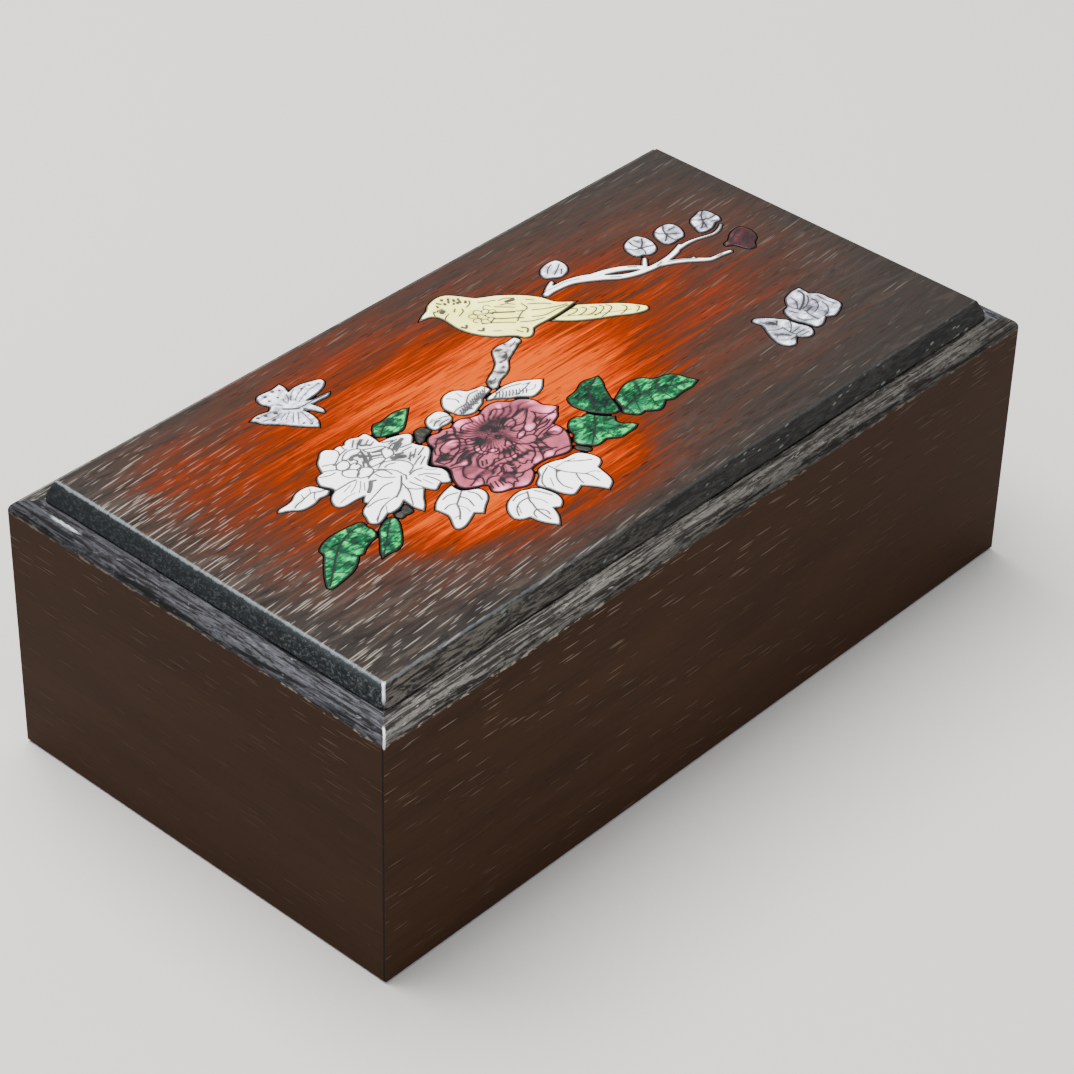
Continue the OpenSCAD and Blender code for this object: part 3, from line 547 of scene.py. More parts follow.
# %% [markdown]
# ## Engraved plates: from outline to mesh
# A plate is a flat sheet about a millimetre and a half thick with soft edges and shallow
# engraved lines. Its outline is read from the frame's own plate and made smoother. The top is
# filled with a fine net of points that has rows along every line, and each point keeps its
# distance to the lines and to the edge, so that the ink stays crisp at any size.


# %% Outlines and curves
def outlines(node):
    """Closed outlines of a plate's top, in millimetres. An outline is made of the triangle edges
    that run one way only, walked from corner to corner."""
    mesh = NODES[node].data
    place = np.empty(len(mesh.vertices) * 3)
    mesh.vertices.foreach_get("co", place)
    place = place.reshape(-1, 3)
    mesh.calc_loop_triangles()
    corners = np.empty(len(mesh.loop_triangles) * 3, np.int32)
    mesh.loop_triangles.foreach_get("vertices", corners)
    spot, same = np.unique(np.round(place[:, :2] / MM, 3), axis=0, return_inverse=True)
    corners = corners.reshape(-1, 3)
    flat = (place[corners][:, :, 2] > place[:, 2].max() - 0.01 * MM).all(1)
    corners = same.ravel()[corners[flat]]
    ways = np.vstack([corners[:, [0, 1]], corners[:, [1, 2]], corners[:, [2, 0]]])
    known = set(map(tuple, ways.tolist()))
    after = {a: b for a, b in known if (b, a) not in known}
    loops = []
    while after:
        start, here = after.popitem()
        walk = [start]
        while here != start:
            walk.append(here)
            here = after.pop(here)
        loops.append(spot[walk])
    return loops


def cubic(a, b, u, v, parts):
    """Points on cubic pieces from each a to its b, which leave along u and arrive along v:
    (2t3 - 3t2 + 1)a + (t3 - 2t2 + t)u + (3t2 - 2t3)b + (t3 - t2)v."""
    t = (np.arange(parts) / parts)[None, :, None]
    a, b, u, v = (p[:, None, :] for p in (a, b, u, v))
    made = (2 * t**3 - 3 * t**2 + 1) * a + (t**3 - 2 * t**2 + t) * u
    made = made + (3 * t**2 - 2 * t**3) * b + (t**3 - t**2) * v
    return made.reshape(-1, 2)


def unit(v):
    return v / np.maximum(np.linalg.norm(v, axis=1, keepdims=True), 1e-9)


SHARP_TURN = 0.75


def refine(loop, parts=3):
    """The same closed outline with more points: a cubic piece along each side, whose end directions
    follow the neighbours, but not at a corner that turns more than SHARP_TURN radians."""
    chord = np.roll(loop, -1, 0) - loop
    before = np.roll(chord, 1, 0)
    length = np.linalg.norm(chord, axis=1, keepdims=True)
    turn = np.arccos(np.clip((unit(chord) * unit(before)).sum(1), -1, 1))
    heading = unit(chord + before)
    sharp = (turn > SHARP_TURN)[:, None]
    leave = np.where(sharp, unit(chord), heading)
    arrive = np.where(np.roll(sharp, -1, 0), unit(chord), np.roll(heading, -1, 0))
    return cubic(loop, np.roll(loop, -1, 0), leave * length, arrive * length, parts)


def curve(points, parts=6):
    """Smooth open line through the points, with cubic pieces that follow the neighbours."""
    padded = np.vstack([points[:1], points, points[-1:]])
    way = (padded[2:] - padded[:-2]) / 2
    return np.vstack([cubic(points[:-1], points[1:], way[:-1], way[1:], parts), points[-1:]])


STROKE_SWELL = 1.4


def strokes(text, half=0.17):
    """Lines written as "x y, x y / x y, x y": commas between points and slashes between lines, in
    millimetres. A line may start with its own half width and a colon. Every line is drawn
    STROKE_SWELL times that wide, because ink fills the sides of the cut too."""
    made = []
    for part in filter(str.strip, text.split("/")):
        width, colon, line = part.rpartition(":")
        points = np.array([[float(n) for n in p.split()] for p in line.split(",")])
        made.append((curve(points), STROKE_SWELL * (float(width) if colon else half)))
    return made


def spots(text):
    """Soft spots written as "x y reach amount, ...", as an array."""
    rows = [[float(n) for n in part.split()] for part in text.split(",") if part.strip()]
    return np.array(rows).reshape(-1, 4)


print("outline of the pink flower:", len(outlines("pink_peony")[0]), "corners")


# %% Distances and the net of points
def segments(lines):
    """Starts, ends and half widths of all the straight bits of the lines."""
    if not lines:
        return np.zeros((1, 2)) + 1e3, np.zeros((1, 2)) + 1e3, np.zeros(1)
    starts = np.vstack([line[:-1] for line, half in lines])
    ends = np.vstack([line[1:] for line, half in lines])
    return starts, ends, np.concatenate([np.full(len(line) - 1, half) for line, half in lines])


def gap_to(points, lines, batch=1500):
    """Each point's distance to the nearest bit, less that bit's half width: along a bit the nearest
    place is the point's shadow on it, kept between its two ends."""
    starts, ends, halves = segments(lines)
    way = ends - starts
    length = np.maximum((way**2).sum(1), 1e-9)
    found = []
    for i in range(0, len(points), batch):
        off = points[i:i + batch, None, :] - starts
        share = np.clip((off * way).sum(2) / length, 0, 1)[:, :, None]
        found.append((np.linalg.norm(off - share * way, axis=2) - halves).min(1))
    return np.concatenate(found)


def inside(points, loops):
    """True where a ray to the right crosses the outlines an odd number of times."""
    crossings = np.zeros(len(points), int)
    for loop in loops:
        a, b = loop, np.roll(loop, -1, 0)
        between = (a[:, 1] > points[:, None, 1]) != (b[:, 1] > points[:, None, 1])
        rise = np.where(b[:, 1] == a[:, 1], 1e-9, b[:, 1] - a[:, 1])
        at = a[:, 0] + (points[:, None, 1] - a[:, 1]) / rise * (b[:, 0] - a[:, 0])
        crossings += (between & (points[:, None, 0] < at)).sum(1)
    return crossings % 2 == 1


def evenly(line, step):
    """Points along a line, one step apart."""
    run = np.concatenate([[0], np.cumsum(np.linalg.norm(np.diff(line, axis=0), axis=1))])
    at = np.linspace(0, run[-1], max(int(run[-1] / step), 1) + 1)
    return np.stack([np.interp(at, run, line[:, 0]), np.interp(at, run, line[:, 1])], 1)


def hex_net(low, high, step):
    """A net of points in rows, every second row moved by half a step."""
    rows = np.arange(low[1], high[1], step * 0.866)
    columns = np.arange(low[0], high[0], step)
    x, y = np.meshgrid(columns, rows)
    return np.stack([x + (np.arange(len(rows)) % 2)[:, None] * step / 2, y], 2).reshape(-1, 2)


def triangles(points, loops):
    """Triangles between the points, kept where their middles are inside the outlines. The outlines'
    own points come first, in order."""
    edges, start = [], 0
    for loop in loops:
        ring = np.arange(len(loop)) + start
        edges += np.stack([ring, np.roll(ring, -1)], 1).tolist()
        start += len(loop)
    done = delaunay_2d_cdt([Vector(p) for p in points.tolist()], edges, [], 1, 1e-5)
    spot, faces = np.array([v[:] for v in done[0]]), np.array(done[2])
    faces = faces[inside(spot[faces].mean(1), loops)]
    a, b, c = (spot[faces[:, i]] for i in range(3))
    area = (b[:, 0] - a[:, 0]) * (c[:, 1] - a[:, 1]) - (b[:, 1] - a[:, 1]) * (c[:, 0] - a[:, 0])
    faces[area < 0] = faces[area < 0][:, ::-1]
    return spot, faces[np.abs(area) > 1e-9]


print("net helpers ready")

# %% [markdown]
# ## A plate as a closed mesh
# The top sinks a little at the edge and in the engraved lines, so that light catches the
# drawing. A wall drops from the outline to the pocket's floor, and a flat underside closes it.

# %% Plate
NET_STEP = 0.33
EDGE_DROP, EDGE_REACH = 0.16, 0.3
LINE_DROP, CROWN, CROWN_REACH = 0.06, 0.10, 1.3
PLATE_TOP = INLAY_HIGH[2] / MM - 0.005
PLATE_LOW = INLAY_LOW[2] / MM


def plate(node, body_slot, material, lines=(), tone=None):
    """Builds one plate and puts it in place of its node. Height of the top: PLATE_TOP, less a crown
    that fades away from edges and lines, less EDGE_DROP at the edge, less LINE_DROP in a line."""
    loops = [refine(loop) for loop in outlines(node)]
    border = np.vstack(loops)
    closed = [(np.vstack([loop, loop[:1]]), 0.0) for loop in loops]
    rows = np.vstack([evenly(line, NET_STEP) for line, half in lines]) if lines else np.zeros((0, 2))
    net = hex_net(border.min(0), border.max(0), NET_STEP)
    if lines:
        net = net[np.abs(gap_to(net, [(line, 0.0) for line, half in lines])) > 0.55 * NET_STEP]
    net = np.vstack([rows, net])
    net = net[inside(net, loops)]
    net = net[gap_to(net, closed) > 0.45 * NET_STEP]
    spot, faces = triangles(np.vstack([border, net]), loops)
    edge = gap_to(spot, closed)
    ink = gap_to(spot, list(lines)) if lines else np.full(len(spot), 9.0)
    quiet = np.minimum(edge, np.maximum(ink, 0))
    top = PLATE_TOP - CROWN * np.exp(-quiet / CROWN_REACH)
    top = top - EDGE_DROP * np.exp(-((edge / EDGE_REACH) ** 2))
    top = top - LINE_DROP * np.clip(0.5 - ink / 0.25, 0, 1)
    low_spot, low_faces = triangles(border, loops)
    count, below = len(spot), len(low_spot)
    walls = []
    start = 0
    for loop in loops:
        ring = np.arange(len(loop)) + start
        nearer = np.roll(ring, -1)
        walls.append(np.stack([ring, nearer, nearer + count, ring + count], 1))
        start += len(loop)
    walls = np.vstack(walls)
    middle = (spot[walls[:, 0]] + spot[walls[:, 1]]) / 2
    way = spot[walls[:, 1]] - spot[walls[:, 0]]
    left_in = inside(middle + unit(np.stack([-way[:, 1], way[:, 0]], 1)) * 0.01, loops)
    walls[left_in] = walls[left_in][:, [1, 0, 3, 2]]
    base = np.column_stack([low_spot, np.full(below, PLATE_LOW)])
    place = np.vstack([np.column_stack([spot, top]), base]) * MM
    every = faces.tolist() + walls.tolist() + (low_faces[:, ::-1] + count).tolist()
    piece = grid_mesh(node + "_engraved", place, every)
    smooth = np.arange(len(piece.data.polygons)) < len(faces)
    piece.data.polygons.foreach_set("use_smooth", smooth)
    values = {"ink": ink, "edge": edge, "tone": tone(spot) if tone else np.full(count, 0.5)}
    for name, value in values.items():
        whole = np.concatenate([value, np.full(below, 0.0)])
        kept = piece.data.attributes.new(name, "FLOAT", "POINT")
        kept.data.foreach_set("value", whole.astype(np.float32))
    piece.data.materials.append(material)
    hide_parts(node)
    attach(piece, "lid")
    return piece


def toned(light="", dark="", base=0.5):
    """Tone from 0 to 1 over a plate: base, plus soft light spots, less soft dark spots."""
    bright, deep = spots(light), spots(dark)

    def tone(points):
        value = np.full(len(points), base)
        for rows, sign in ((bright, 1), (deep, -1)):
            for x, y, reach, amount in rows:
                away = ((points - (x, y)) ** 2).sum(1) / reach**2
                value = value + sign * amount * np.exp(-away)
        return np.clip(value, 0, 1)

    return tone


print("plate builder ready")

# %% [markdown]
# ## Finishes of the plates
# Shell is white with a faint play of lilac and green, the pieces of grey pearl are cooler and
# cloudier, the bird is cream, the peony and the leaves are stained shell with bright streaks.
# Every finish shares the ink: black-brown where a point is inside a line or right at the edge.

# %% Shell finishes
INK = (0.010, 0.0085, 0.0095)


def shell(name, dark, mid, light, cloud=0.0, cloud_cells=(3, 3, 3), sheen_a=None, sheen_b=None,
          sheen=0.0, rough=0.26, gloss=0.3, soot=0.2):
    """Polished plate: tone goes through dark, mid and light, cloud adds mottling, two faint sheen
    colours drift over it, soot darkens the lines' sides, and the ink lies on top."""
    paint = Paint(name)
    clouds = paint.noise(cloud_cells, 4.0, 0.6, 0.5)
    near_ink = paint.attribute("ink").rise(0.9, 0.0)
    tone = paint.attribute("tone") + (clouds - 0.5) * cloud - near_ink * soot
    colour = paint.ramp(tone, [(0.0, dark), (0.5, mid), (1.0, light)])
    if sheen:
        drift = paint.noise((7, 5, 7), 2.0, 0.5, 1.2)
        colour = paint.mix(drift.rise(0.5, 0.68) * sheen, colour, sheen_a)
        colour = paint.mix(drift.rise(0.46, 0.3) * sheen, colour, sheen_b)
    grain = paint.noise((0.5, 0.5, 0.5), 3.0, 0.6)
    ragged = (grain - 0.5) * 0.10
    inked = (paint.attribute("ink") + ragged).rise(0.08, -0.06)
    rim = (paint.attribute("edge") + ragged).rise(0.58, 0.38)
    colour = paint.mix((inked * 0.96).most(rim * 0.95), colour, INK)
    paint.bump(clouds * 0.4 + grain * 0.2, 0.03)
    return paint.set(Base_Color=colour, Roughness=rough + clouds * 0.12 + inked * 0.25,
                     Specular_IOR_Level=gloss)


LILAC, SEA = (0.62, 0.56, 0.78), (0.60, 0.80, 0.74)
WHITE = shell("white_shell", (0.16, 0.16, 0.19), (0.84, 0.84, 0.84), (0.95, 0.95, 0.94), 0.2,
              (6, 6, 6), (0.92, 0.84, 0.86), (0.84, 0.90, 0.89), 0.25, soot=0.2)
STUMP = shell("mottled_shell", (0.02, 0.017, 0.016), (0.40, 0.38, 0.37), (0.80, 0.79, 0.77), 2.2,
              (2.2, 1.2, 2), LILAC, SEA, 0.12)
PEARL = shell("grey_pearl", (0.05, 0.05, 0.065), (0.28, 0.29, 0.345), (0.80, 0.82, 0.92), 2.0,
              (2.4, 1.5, 2.4), LILAC, SEA, 0.2, rough=0.2, gloss=0.2)
CREAM = shell("cream_shell", (0.26, 0.22, 0.04), (0.84, 0.80, 0.20), (0.93, 0.93, 0.66), 0.3,
              (4, 3, 4), (0.90, 0.90, 0.36), (0.76, 0.70, 0.18), 0.5, gloss=0.2, soot=0.12)
PINK = shell("pink_shell", (0.012, 0.010, 0.011), (0.290, 0.062, 0.096), (0.78, 0.22, 0.40), 0.3,
             (1.6, 1.2, 1.3), gloss=0.05, soot=0.14)
GREEN = shell("green_shell", (0.0015, 0.008, 0.005), (0.004, 0.055, 0.018), (0.010, 0.42, 0.10),
              2.4, (2.4, 0.8, 1.4), (0.012, 0.22, 0.09), (0.003, 0.035, 0.025), 0.35, rough=0.2,
              gloss=0.05)
STONE = shell("dark_stone", (0.007, 0.007, 0.007), (0.017, 0.017, 0.014), (0.06, 0.06, 0.036),
              1.6, (0.7, 3, 1.2), gloss=0.08)
PLUM = shell("dark_red_stone", (0.007, 0.004, 0.005), (0.030, 0.0075, 0.0095),
             (0.09, 0.022, 0.027), 0.8, (3, 2, 3), gloss=0.08)
print("shell finishes ready")

# %% [markdown]
# ## The bird
# Two plates of cream shell, the body and the tail. The feathers are drawn as small scales on
# the shoulder and long lines down the wing, and the tail has a scale at every feather's end.

# %% Bird


def ring_row(centres, radius):
    """Small open scales round the given centres: arcs of a circle, three quarters of a turn each."""
    turn = np.linspace(-0.5, 4.2, 12)
    arc = np.stack([radius * np.cos(turn), radius * 0.85 * np.sin(turn)], 1)
    return [(arc + centre, 0.16) for centre in centres]


BIRD_LINES = strokes("""
0.55: 9.3 43.9, 8.5 43.6 / 0.2: 8.6 44.4, 7.4 45.2 / 0.18: 7.2 45.6, 6.3 44.6, 5.6 43 / 9.9 44.9,
8.4 45.3 / 0.3: 11 47.9, 11.4 47 / 0.35: 13.2 48.4, 13 48 / 0.35: 12.4 46.4, 12.2 45.9 /
0.3: 14 46.4, 13.6 45.9 / 0.35: 15.6 46, 15.3 45.4 / 0.3: 15.5 44.3, 15.1 43.8 / 0.3: 16.4 44.2,
16 43.6 / 0.35: 17.5 43, 17 42.5 / 0.3: 14.9 47.4, 14.5 47 / 0.3: 16.9 45.4, 16.6 44.9 /
0.3: 9.9 46.9, 9.7 46.4 / 0.28: 14.4 44.6, 14 44.3 / 18.5 42.5, 17.4 41.3, 15.5 40.7 / 13.9 40.9,
13.2 39.8, 10.8 39 / 9.3 41.7, 8 41.4, 6.6 40.5 / 12.6 42.4, 11.2 41.4 / 0.22: 16.6 31, 19 28.8,
21.2 27.1, 22.8 25.5 / 20.5 25.5, 22.6 26.8, 25.1 27.8, 27.4 28.2, 27.8 30.9 / 18.9 33.6,
22.4 30.4, 25.8 27.8 / 21.2 35.2, 23.4 32.8, 25.1 30.9 / 23 34.6, 24.8 33.8, 26.2 32 /
0.5: 25.6 34.6, 27.6 34 / 14.2 30.4, 17 28, 19.6 25.4 / 17.5 34.4, 20.2 31.9, 23 29.4 / 12.4 31.6,
14.6 30.4, 16.8 31.2 / 25.1 24, 28.2 22.1, 32.8 21.7, 36.6 20.9 / 27.6 26.4, 30.6 24.3, 34 22.6,
36.8 21.6 / 29 29.4, 31.8 27, 33.6 24.8 / 24.4 36.6, 26.6 36, 28.4 34.4 / 0.3: 7.1 34.6, 7.6 33.3,
8.7 34.2 / 0.3: 9.3 30, 10 29, 11 29.8 / 0.25: 18.9 22.5, 19.7 20.9, 18.2 19.6 / 16.9 22.6,
17.4 20.6 / 20.8 24.6, 23.4 22.6, 27 21.2 / 12 26.8, 13.6 25.4 / 22 38.4, 23.8 37.4 / 19.6 40,
21.4 38.6 / 30.4 31.4, 31.6 29.6""") + ring_row(
    [(13.2, 36.2), (15.6, 36.8), (17.6, 35.4), (12.6, 33.8), (14.9, 34.4), (17, 33.2), (13.9, 32),
     (16, 31.4), (19.4, 36.6), (18.9, 33.9)], 1.15)
plate("bird_body", "cream_shell", CREAM, BIRD_LINES,
      toned("2.6 45.6 2.6 0.6, 12 27 5 0.1, 22 40 5 0.12", "15 34.5 4.2 0.16, 9 44 1.6 0.2", 0.52))
TAIL_LINES = strokes("""
35.8 18.8, 36.8 17.8, 36.2 17.1, 34.6 16.8, 32.8 17.3 / 40.5 15.5, 41.2 14.4, 40.5 13.6,
38.6 13.1, 36.6 13.4 / 44.3 13.2, 44.7 11.8, 43.9 10.9, 41.4 10.2, 38.9 10 / 47.4 9.8, 47.7 8.6,
47 7.8, 45.4 7.2, 43.9 7.1 / 49.9 6.7, 50.3 6, 49.7 5.5, 48.8 5, 47.8 4.8 / 38.4 17.2, 38.9 16.2,
38.2 15.4, 36.4 15, 34.6 15.3 / 42.6 14.4, 43 13.2, 42.2 12.4, 40.2 11.8, 38 11.8 / 0.1: 31 18.2,
34.4 15.4, 38.2 12.4, 42.6 9.6, 47.6 6.6""")
plate("bird_tail", "cream_shell", CREAM, TAIL_LINES, toned("46 8 6 0.1", "", 0.5))
print("bird made with", len(BIRD_LINES) + len(TAIL_LINES), "lines")

# %% [markdown]
# ## Perch, branch and plum blossom
# The bird stands on a broken stump of mottled shell. Behind it a white branch forks to five
# blossoms: a bud, three of cloudy grey pearl and one of dark red stone.

# %% Perch and branch
plate("perch_stump", "grey_pearl", STUMP, strokes("""
-7.6 9.4, -6.8 10 / -2.6 12.4, -1.2 10.6 / 3.2 14.4, 5 15.2, 6.4 16.8 / 0.2: 5 19.6, 6.8 18.8 /
9.6 18.2, 12.2 18.8"""),
      toned("12 19 2.4 0.3, 1 13 2.5 0.2", """
-7.2 9.9 1.3 0.9, -5.2 9.6 0.9 0.8, -1.9 11.1 1.5 0.9, -3.6 13 0.9 0.7, 0.6 12.4 0.8 0.7,
5.5 19.2 1.3 0.8, 4.3 15.5 1.4 0.9, 2 14.6 1 0.8, 7.8 17 1 0.7, 9 19.9 1 0.6, 11.4 17.8 0.9 0.6,
6.2 17.2 0.7 0.6""", 0.7))
plate("plum_branch", "white_shell", WHITE, strokes("""
0.1: 38 30.2, 41 29.8, 45 29.6, 49 28 / 0.18: 56 22, 58.4 20 / 0.15: 74 15.6, 78 13.2, 81 10.6 /
0.2: 63.6 22, 65.4 20.4 / 0.16: 70 16.4, 72.6 16.8 / 0.16: 86 7.4, 88.4 7.2"""),
      toned("60 22 5 0.1", """
50 27 2 0.14, 67 18 1.6 0.2, 72 16 1.4 0.2, 81.6 17.8 1.4 0.2, 99 17.4 2 0.25, 78.8 12 1.2 0.2""", 0.6))
BLOSSOM_LINES = {
    "plum_bud": """
0.16: 44.6 36.2, 46.6 37.8, 49 38.8 / 0.16: 45.6 34.4, 48.4 35.8, 51 37.4 / 47.4 33.4, 49.4 35""",
    "plum_blossom_near": """
0.35: 73.7 26.2, 74 25.8 / 0.2: 73.8 26, 73.4 28.6, 74 30.8 / 0.2: 73.8 26, 76 27.4, 78 29.4 /
0.16: 73.8 26, 73.6 24.4, 72.6 23 / 0.2: 73.8 26, 76 25.2, 77.8 24.6 / 73.8 26, 71.6 27.2,
70.6 29 / 75.6 30.4, 76 28.6""",
    "plum_blossom_mid": """
0.35: 84.9 26.2, 85.2 25.8 / 0.2: 85 26, 86 28, 87.6 29.4 / 0.2: 85 26, 83.6 24.6, 82 23.6 /
0.2: 85 26, 86.6 24.6, 88.2 23.4 / 0.16: 85 26, 84.4 23.8, 84.6 21.8 / 85 26, 83.8 27.4,
83.4 28.6 / 87 26.8, 89.6 26.6""",
    "plum_blossom_far": """
0.35: 98.4 23.7, 98.7 23.3 / 0.2: 98.5 23.5, 100.4 25.6, 102.5 26.8 / 0.2: 98.5 23.5, 96.8 21.8,
94.8 20.8 / 0.2: 98.5 23.5, 100.8 22.6, 103 22.6 / 0.16: 98.5 23.5, 97 21, 96 19.4 / 98.5 23.5,
97 24.8, 96 25.8 / 100 21, 101.6 20.4""",
    "plum_blossom_dark": """
95 9.6, 97.4 10.8, 100 11.6 / 97.4 5.4, 99 7.6, 101.8 9.2 / 100 11.6, 102 12.4"""}
BLOSSOM_SHADES = {
    "plum_bud": toned("50 38.6 2 0.3, 44 34.6 1.5 0.2", "46.4 37 1.4 0.25", 0.72),
    "plum_blossom_near": toned("72 29 2.4 0.3, 76 24 1.8 0.25",
                               "75.8 28.6 1.6 0.3, 72 25 1.2 0.3", 0.66),
    "plum_blossom_mid": toned("84 28 1.8 0.3, 88.6 22.6 1.2 0.3",
                              "87.6 25.4 2.4 0.35, 83 23 1.6 0.3", 0.56),
    "plum_blossom_far": toned("96 24.4 1.4 0.35, 102 22 1.4 0.3",
                              "100 24.6 2.2 0.3, 97 20.6 1.6 0.3", 0.56),
    "plum_blossom_dark": toned("98 11.5 2 0.4, 93.4 9.8 0.8 0.6", "101 7 2.5 0.3", 0.45)}
for node, text in BLOSSOM_LINES.items():
    stone = node == "plum_blossom_dark"
    slot_name, finish = ("purple_stone", PLUM) if stone else ("grey_pearl", PEARL)
    plate(node, slot_name, finish, strokes(text), BLOSSOM_SHADES[node])
print("perch, branch and", len(BLOSSOM_LINES), "blossoms made")

# %% [markdown]
# ## White peony and the pale petals behind
# The white peony is one large plate. Its rosette of small petals, the frilled petals on the right
# and the long petals below are all drawn in ink, with closely set lines in the folds.

# %% White peony
ROSETTE = """
-65.5 11.3, -64.3 12.5, -62 12.7, -61.2 11.3, -62 9.8, -63.9 9.2, -65.5 10, -65.6 11.2 /
-61.6 13.2, -59.7 14.4, -57.4 14.8, -55.5 14, -54.9 12.8, -56.6 12.1, -58.5 12.5, -60.5 12.1,
-61.6 13 / -65.1 9.2, -63.5 8.6, -62.2 7.1, -62.8 5.5, -64.7 4.8, -66.2 6.3, -66.4 8.2,
-65.3 9.2 / -63 9, -61.6 9.8, -60.1 9.4, -60.1 7.5, -62 7.1 / -64.3 4.8, -62.8 5.9, -60.5 6.7,
-58.9 5.2, -59.3 3.6, -61.6 2.8, -63.9 3.6, -64.4 4.7 / -58.5 5.2, -57.8 7.1, -55.8 7.5,
-53.5 6.5, -53.2 5.2, -55.8 4.8, -58.3 5.1 / -53.2 5.2, -52.4 7.1, -51.2 8.6, -49.3 8.8,
-49.1 7.1, -50.1 5.2, -52.8 5 / -54.5 12.5, -52.4 11.3, -50.1 10.2, -49.3 9, -52 9.4, -54.3 10.5,
-54.6 12.2 / 0.42: -60.1 11.3, -58.9 12.1, -57.4 11.7, -57 10.5 / 0.3: -58.9 5.7, -57 8.6,
-55.5 12 / 0.35: -58.2 7.8, -56.2 10.2 / 0.35: -57.4 10.5, -55.5 9.4 / 0.35: -55.1 8.6,
-52.8 7.4 / 0.3: -53.5 9.6, -51.6 8.6 / 0.3: -53.5 14.2, -51.4 12.5 / 0.2: -60.6 8.8, -59.2 9.8,
-59.4 10.9 / 0.25: -59.6 7, -58.4 8.4 / 0.3: -56.4 7.8, -55.2 8.8, -54.6 10.2 / -65.1 12.8,
-62.8 13.8, -61.2 14.8, -59.3 15.4, -57.4 15.7 /"""
WHITE_LINES = strokes(ROSETTE + """
0.2: -73.5 4.4, -70.5 4.4, -67.4 4.4, -65.5 4 / -68.9 12.8, -67 11.7, -65.5 10.5 / -67.4 14.8,
-65.1 13.6, -64.3 13 / -60.1 18.2, -59.7 16.7, -60.8 14.9 / -57.4 17.7, -57.8 16.3 / -55.1 14,
-53.4 15.4, -51.6 16.3 / -55.8 15.2, -53.2 17.3 / -53.5 14.8, -51.2 15.9 / -52.4 13.6,
-50.2 14.6 / -52 12.4, -49.8 13 / 0.45: -48.5 6.7, -46 7.8, -43.6 8.5 / 0.2: -48.9 5.5,
-45.1 7.1 / -47.8 9.4, -44.7 9.4 / 0.2: -48.5 11, -45.8 9.8 / 0.2: -46.6 5.9, -43.4 5.2 /
0.2: -49.6 7.8, -47.4 8.6, -45.4 8.5 / 0.6: -51.6 3.9, -50.2 3.3, -48.9 2.5 / 0.3: -50 4.6,
-48 3.8 / -47.6 4.4, -44.4 4.2 / -49.3 -0.2, -47.8 1.4, -46.2 2.5 / 0.2: -48.9 0.9, -46.6 1.3 /
-49.7 -2.2, -47.4 -1.2, -45.5 -0.6 / 0.2: -45.8 0.2, -42.4 1.5 / -48.5 -3.3, -45.1 -1.6 /
-47.6 0.2, -44.2 2.6 / -58.9 4, -56.6 1.7, -55.1 -0.6, -54.9 -3.7 / -62.8 2.1, -60.8 2.7,
-58.5 2.8, -57 1.3, -57 -1 / -60.1 2.1, -59.7 -0.2, -57.4 -2.5 / -57.4 3.6, -54.7 4.4, -51.6 2.5,
-50.1 0.2, -50.5 -2.5, -53.2 -3.7 / -56.2 2.5, -54.6 2.8, -52.8 2.1 / 0.1: -70.5 0.9, -68 2,
-65.8 3.4 / 0.1: -68.9 -0.6, -66.8 1, -65.1 2.7 / 0.1: -71.4 2.4, -68.2 3.4 / 0.1: -67.2 -1,
-64.8 1.6 / 0.45: -67 -2.3, -65.1 -1, -63.3 0.7 / 0.22: -63.5 -9.1, -60.1 -7.2, -58.2 -5.6,
-55.8 -3.3 / 0.3: -63.3 0.7, -62 0.2 / 0.16: -74.7 -13.1, -70.5 -10.2, -67.4 -9.1, -63.5 -8.7 /
0.1: -74.3 -12.3, -71.4 -10.8, -68.9 -9.6 / -72 -6.8, -68.2 -6.6, -65.1 -7.9 / 0.1: -70.1 -12.2,
-68.2 -9.8 / 0.16: -62.8 -14.5, -61 -12, -59.3 -9.6, -58 -5.7 / 0.1: -61.6 -12.9, -58.9 -9.1 /
-58.9 -7.9, -57.4 -10.2, -55.8 -11.3 / -56.2 -6.8, -55.8 -9.1, -55.3 -11 / -53.9 -6.4,
-53.9 -8.7 / 0.2: -53.9 -4.5, -51.6 -4.1, -49.3 -4.8 / -52.4 -6.4, -50.5 -7.2, -49.3 -8.7,
-48.2 -10.2 / -51.2 -7.9, -50.5 -10.6, -50.3 -12.6 / -54.6 -3.8, -56 -5.4 / 0.1: -49.2 -5.8,
-47.2 -7.8 / 0.1: -52.9 -8.6, -52.6 -11.6 / -70.2 -5.4, -66 -4.2, -62.4 -3.2, -59.6 -3.6 /
0.1: -75.6 -0.4, -72.4 0.2, -69.8 0 / -71.4 11.6, -69 10.4, -67 10.2""")
plate("white_peony", "white_shell", WHITE, WHITE_LINES,
      toned("-62 17 4 0.15, -70 8 4 0.12, -68 -8 6 0.12", """
-53 15.4 2.2 0.34, -46.5 8 2.6 0.34, -47.5 1 2.4 0.3, -57 10 2.4 0.36, -50 3 1.6 0.4,
-60 -9 2 0.1""", 0.62))
print("white peony made with", len(WHITE_LINES), "lines")


# %% Pale petals and white leaves
def hatch(start, end, reach_start, reach_end, count, half=0.17):
    """A row of short lines: the first runs from start by reach_start, the last from end by
    reach_end, and each bends a little on its way."""
    share = np.linspace(0, 1, count)[:, None]
    foot = np.array(start) + share * (np.array(end) - start)
    reach = np.array(reach_start) + share * (np.array(reach_end) - reach_start)
    bend = (0.12, -0.1)
    return [(curve(np.array([a, a + r * 0.55 + bend, a + r]), 3), half) for a, r in zip(foot, reach)]


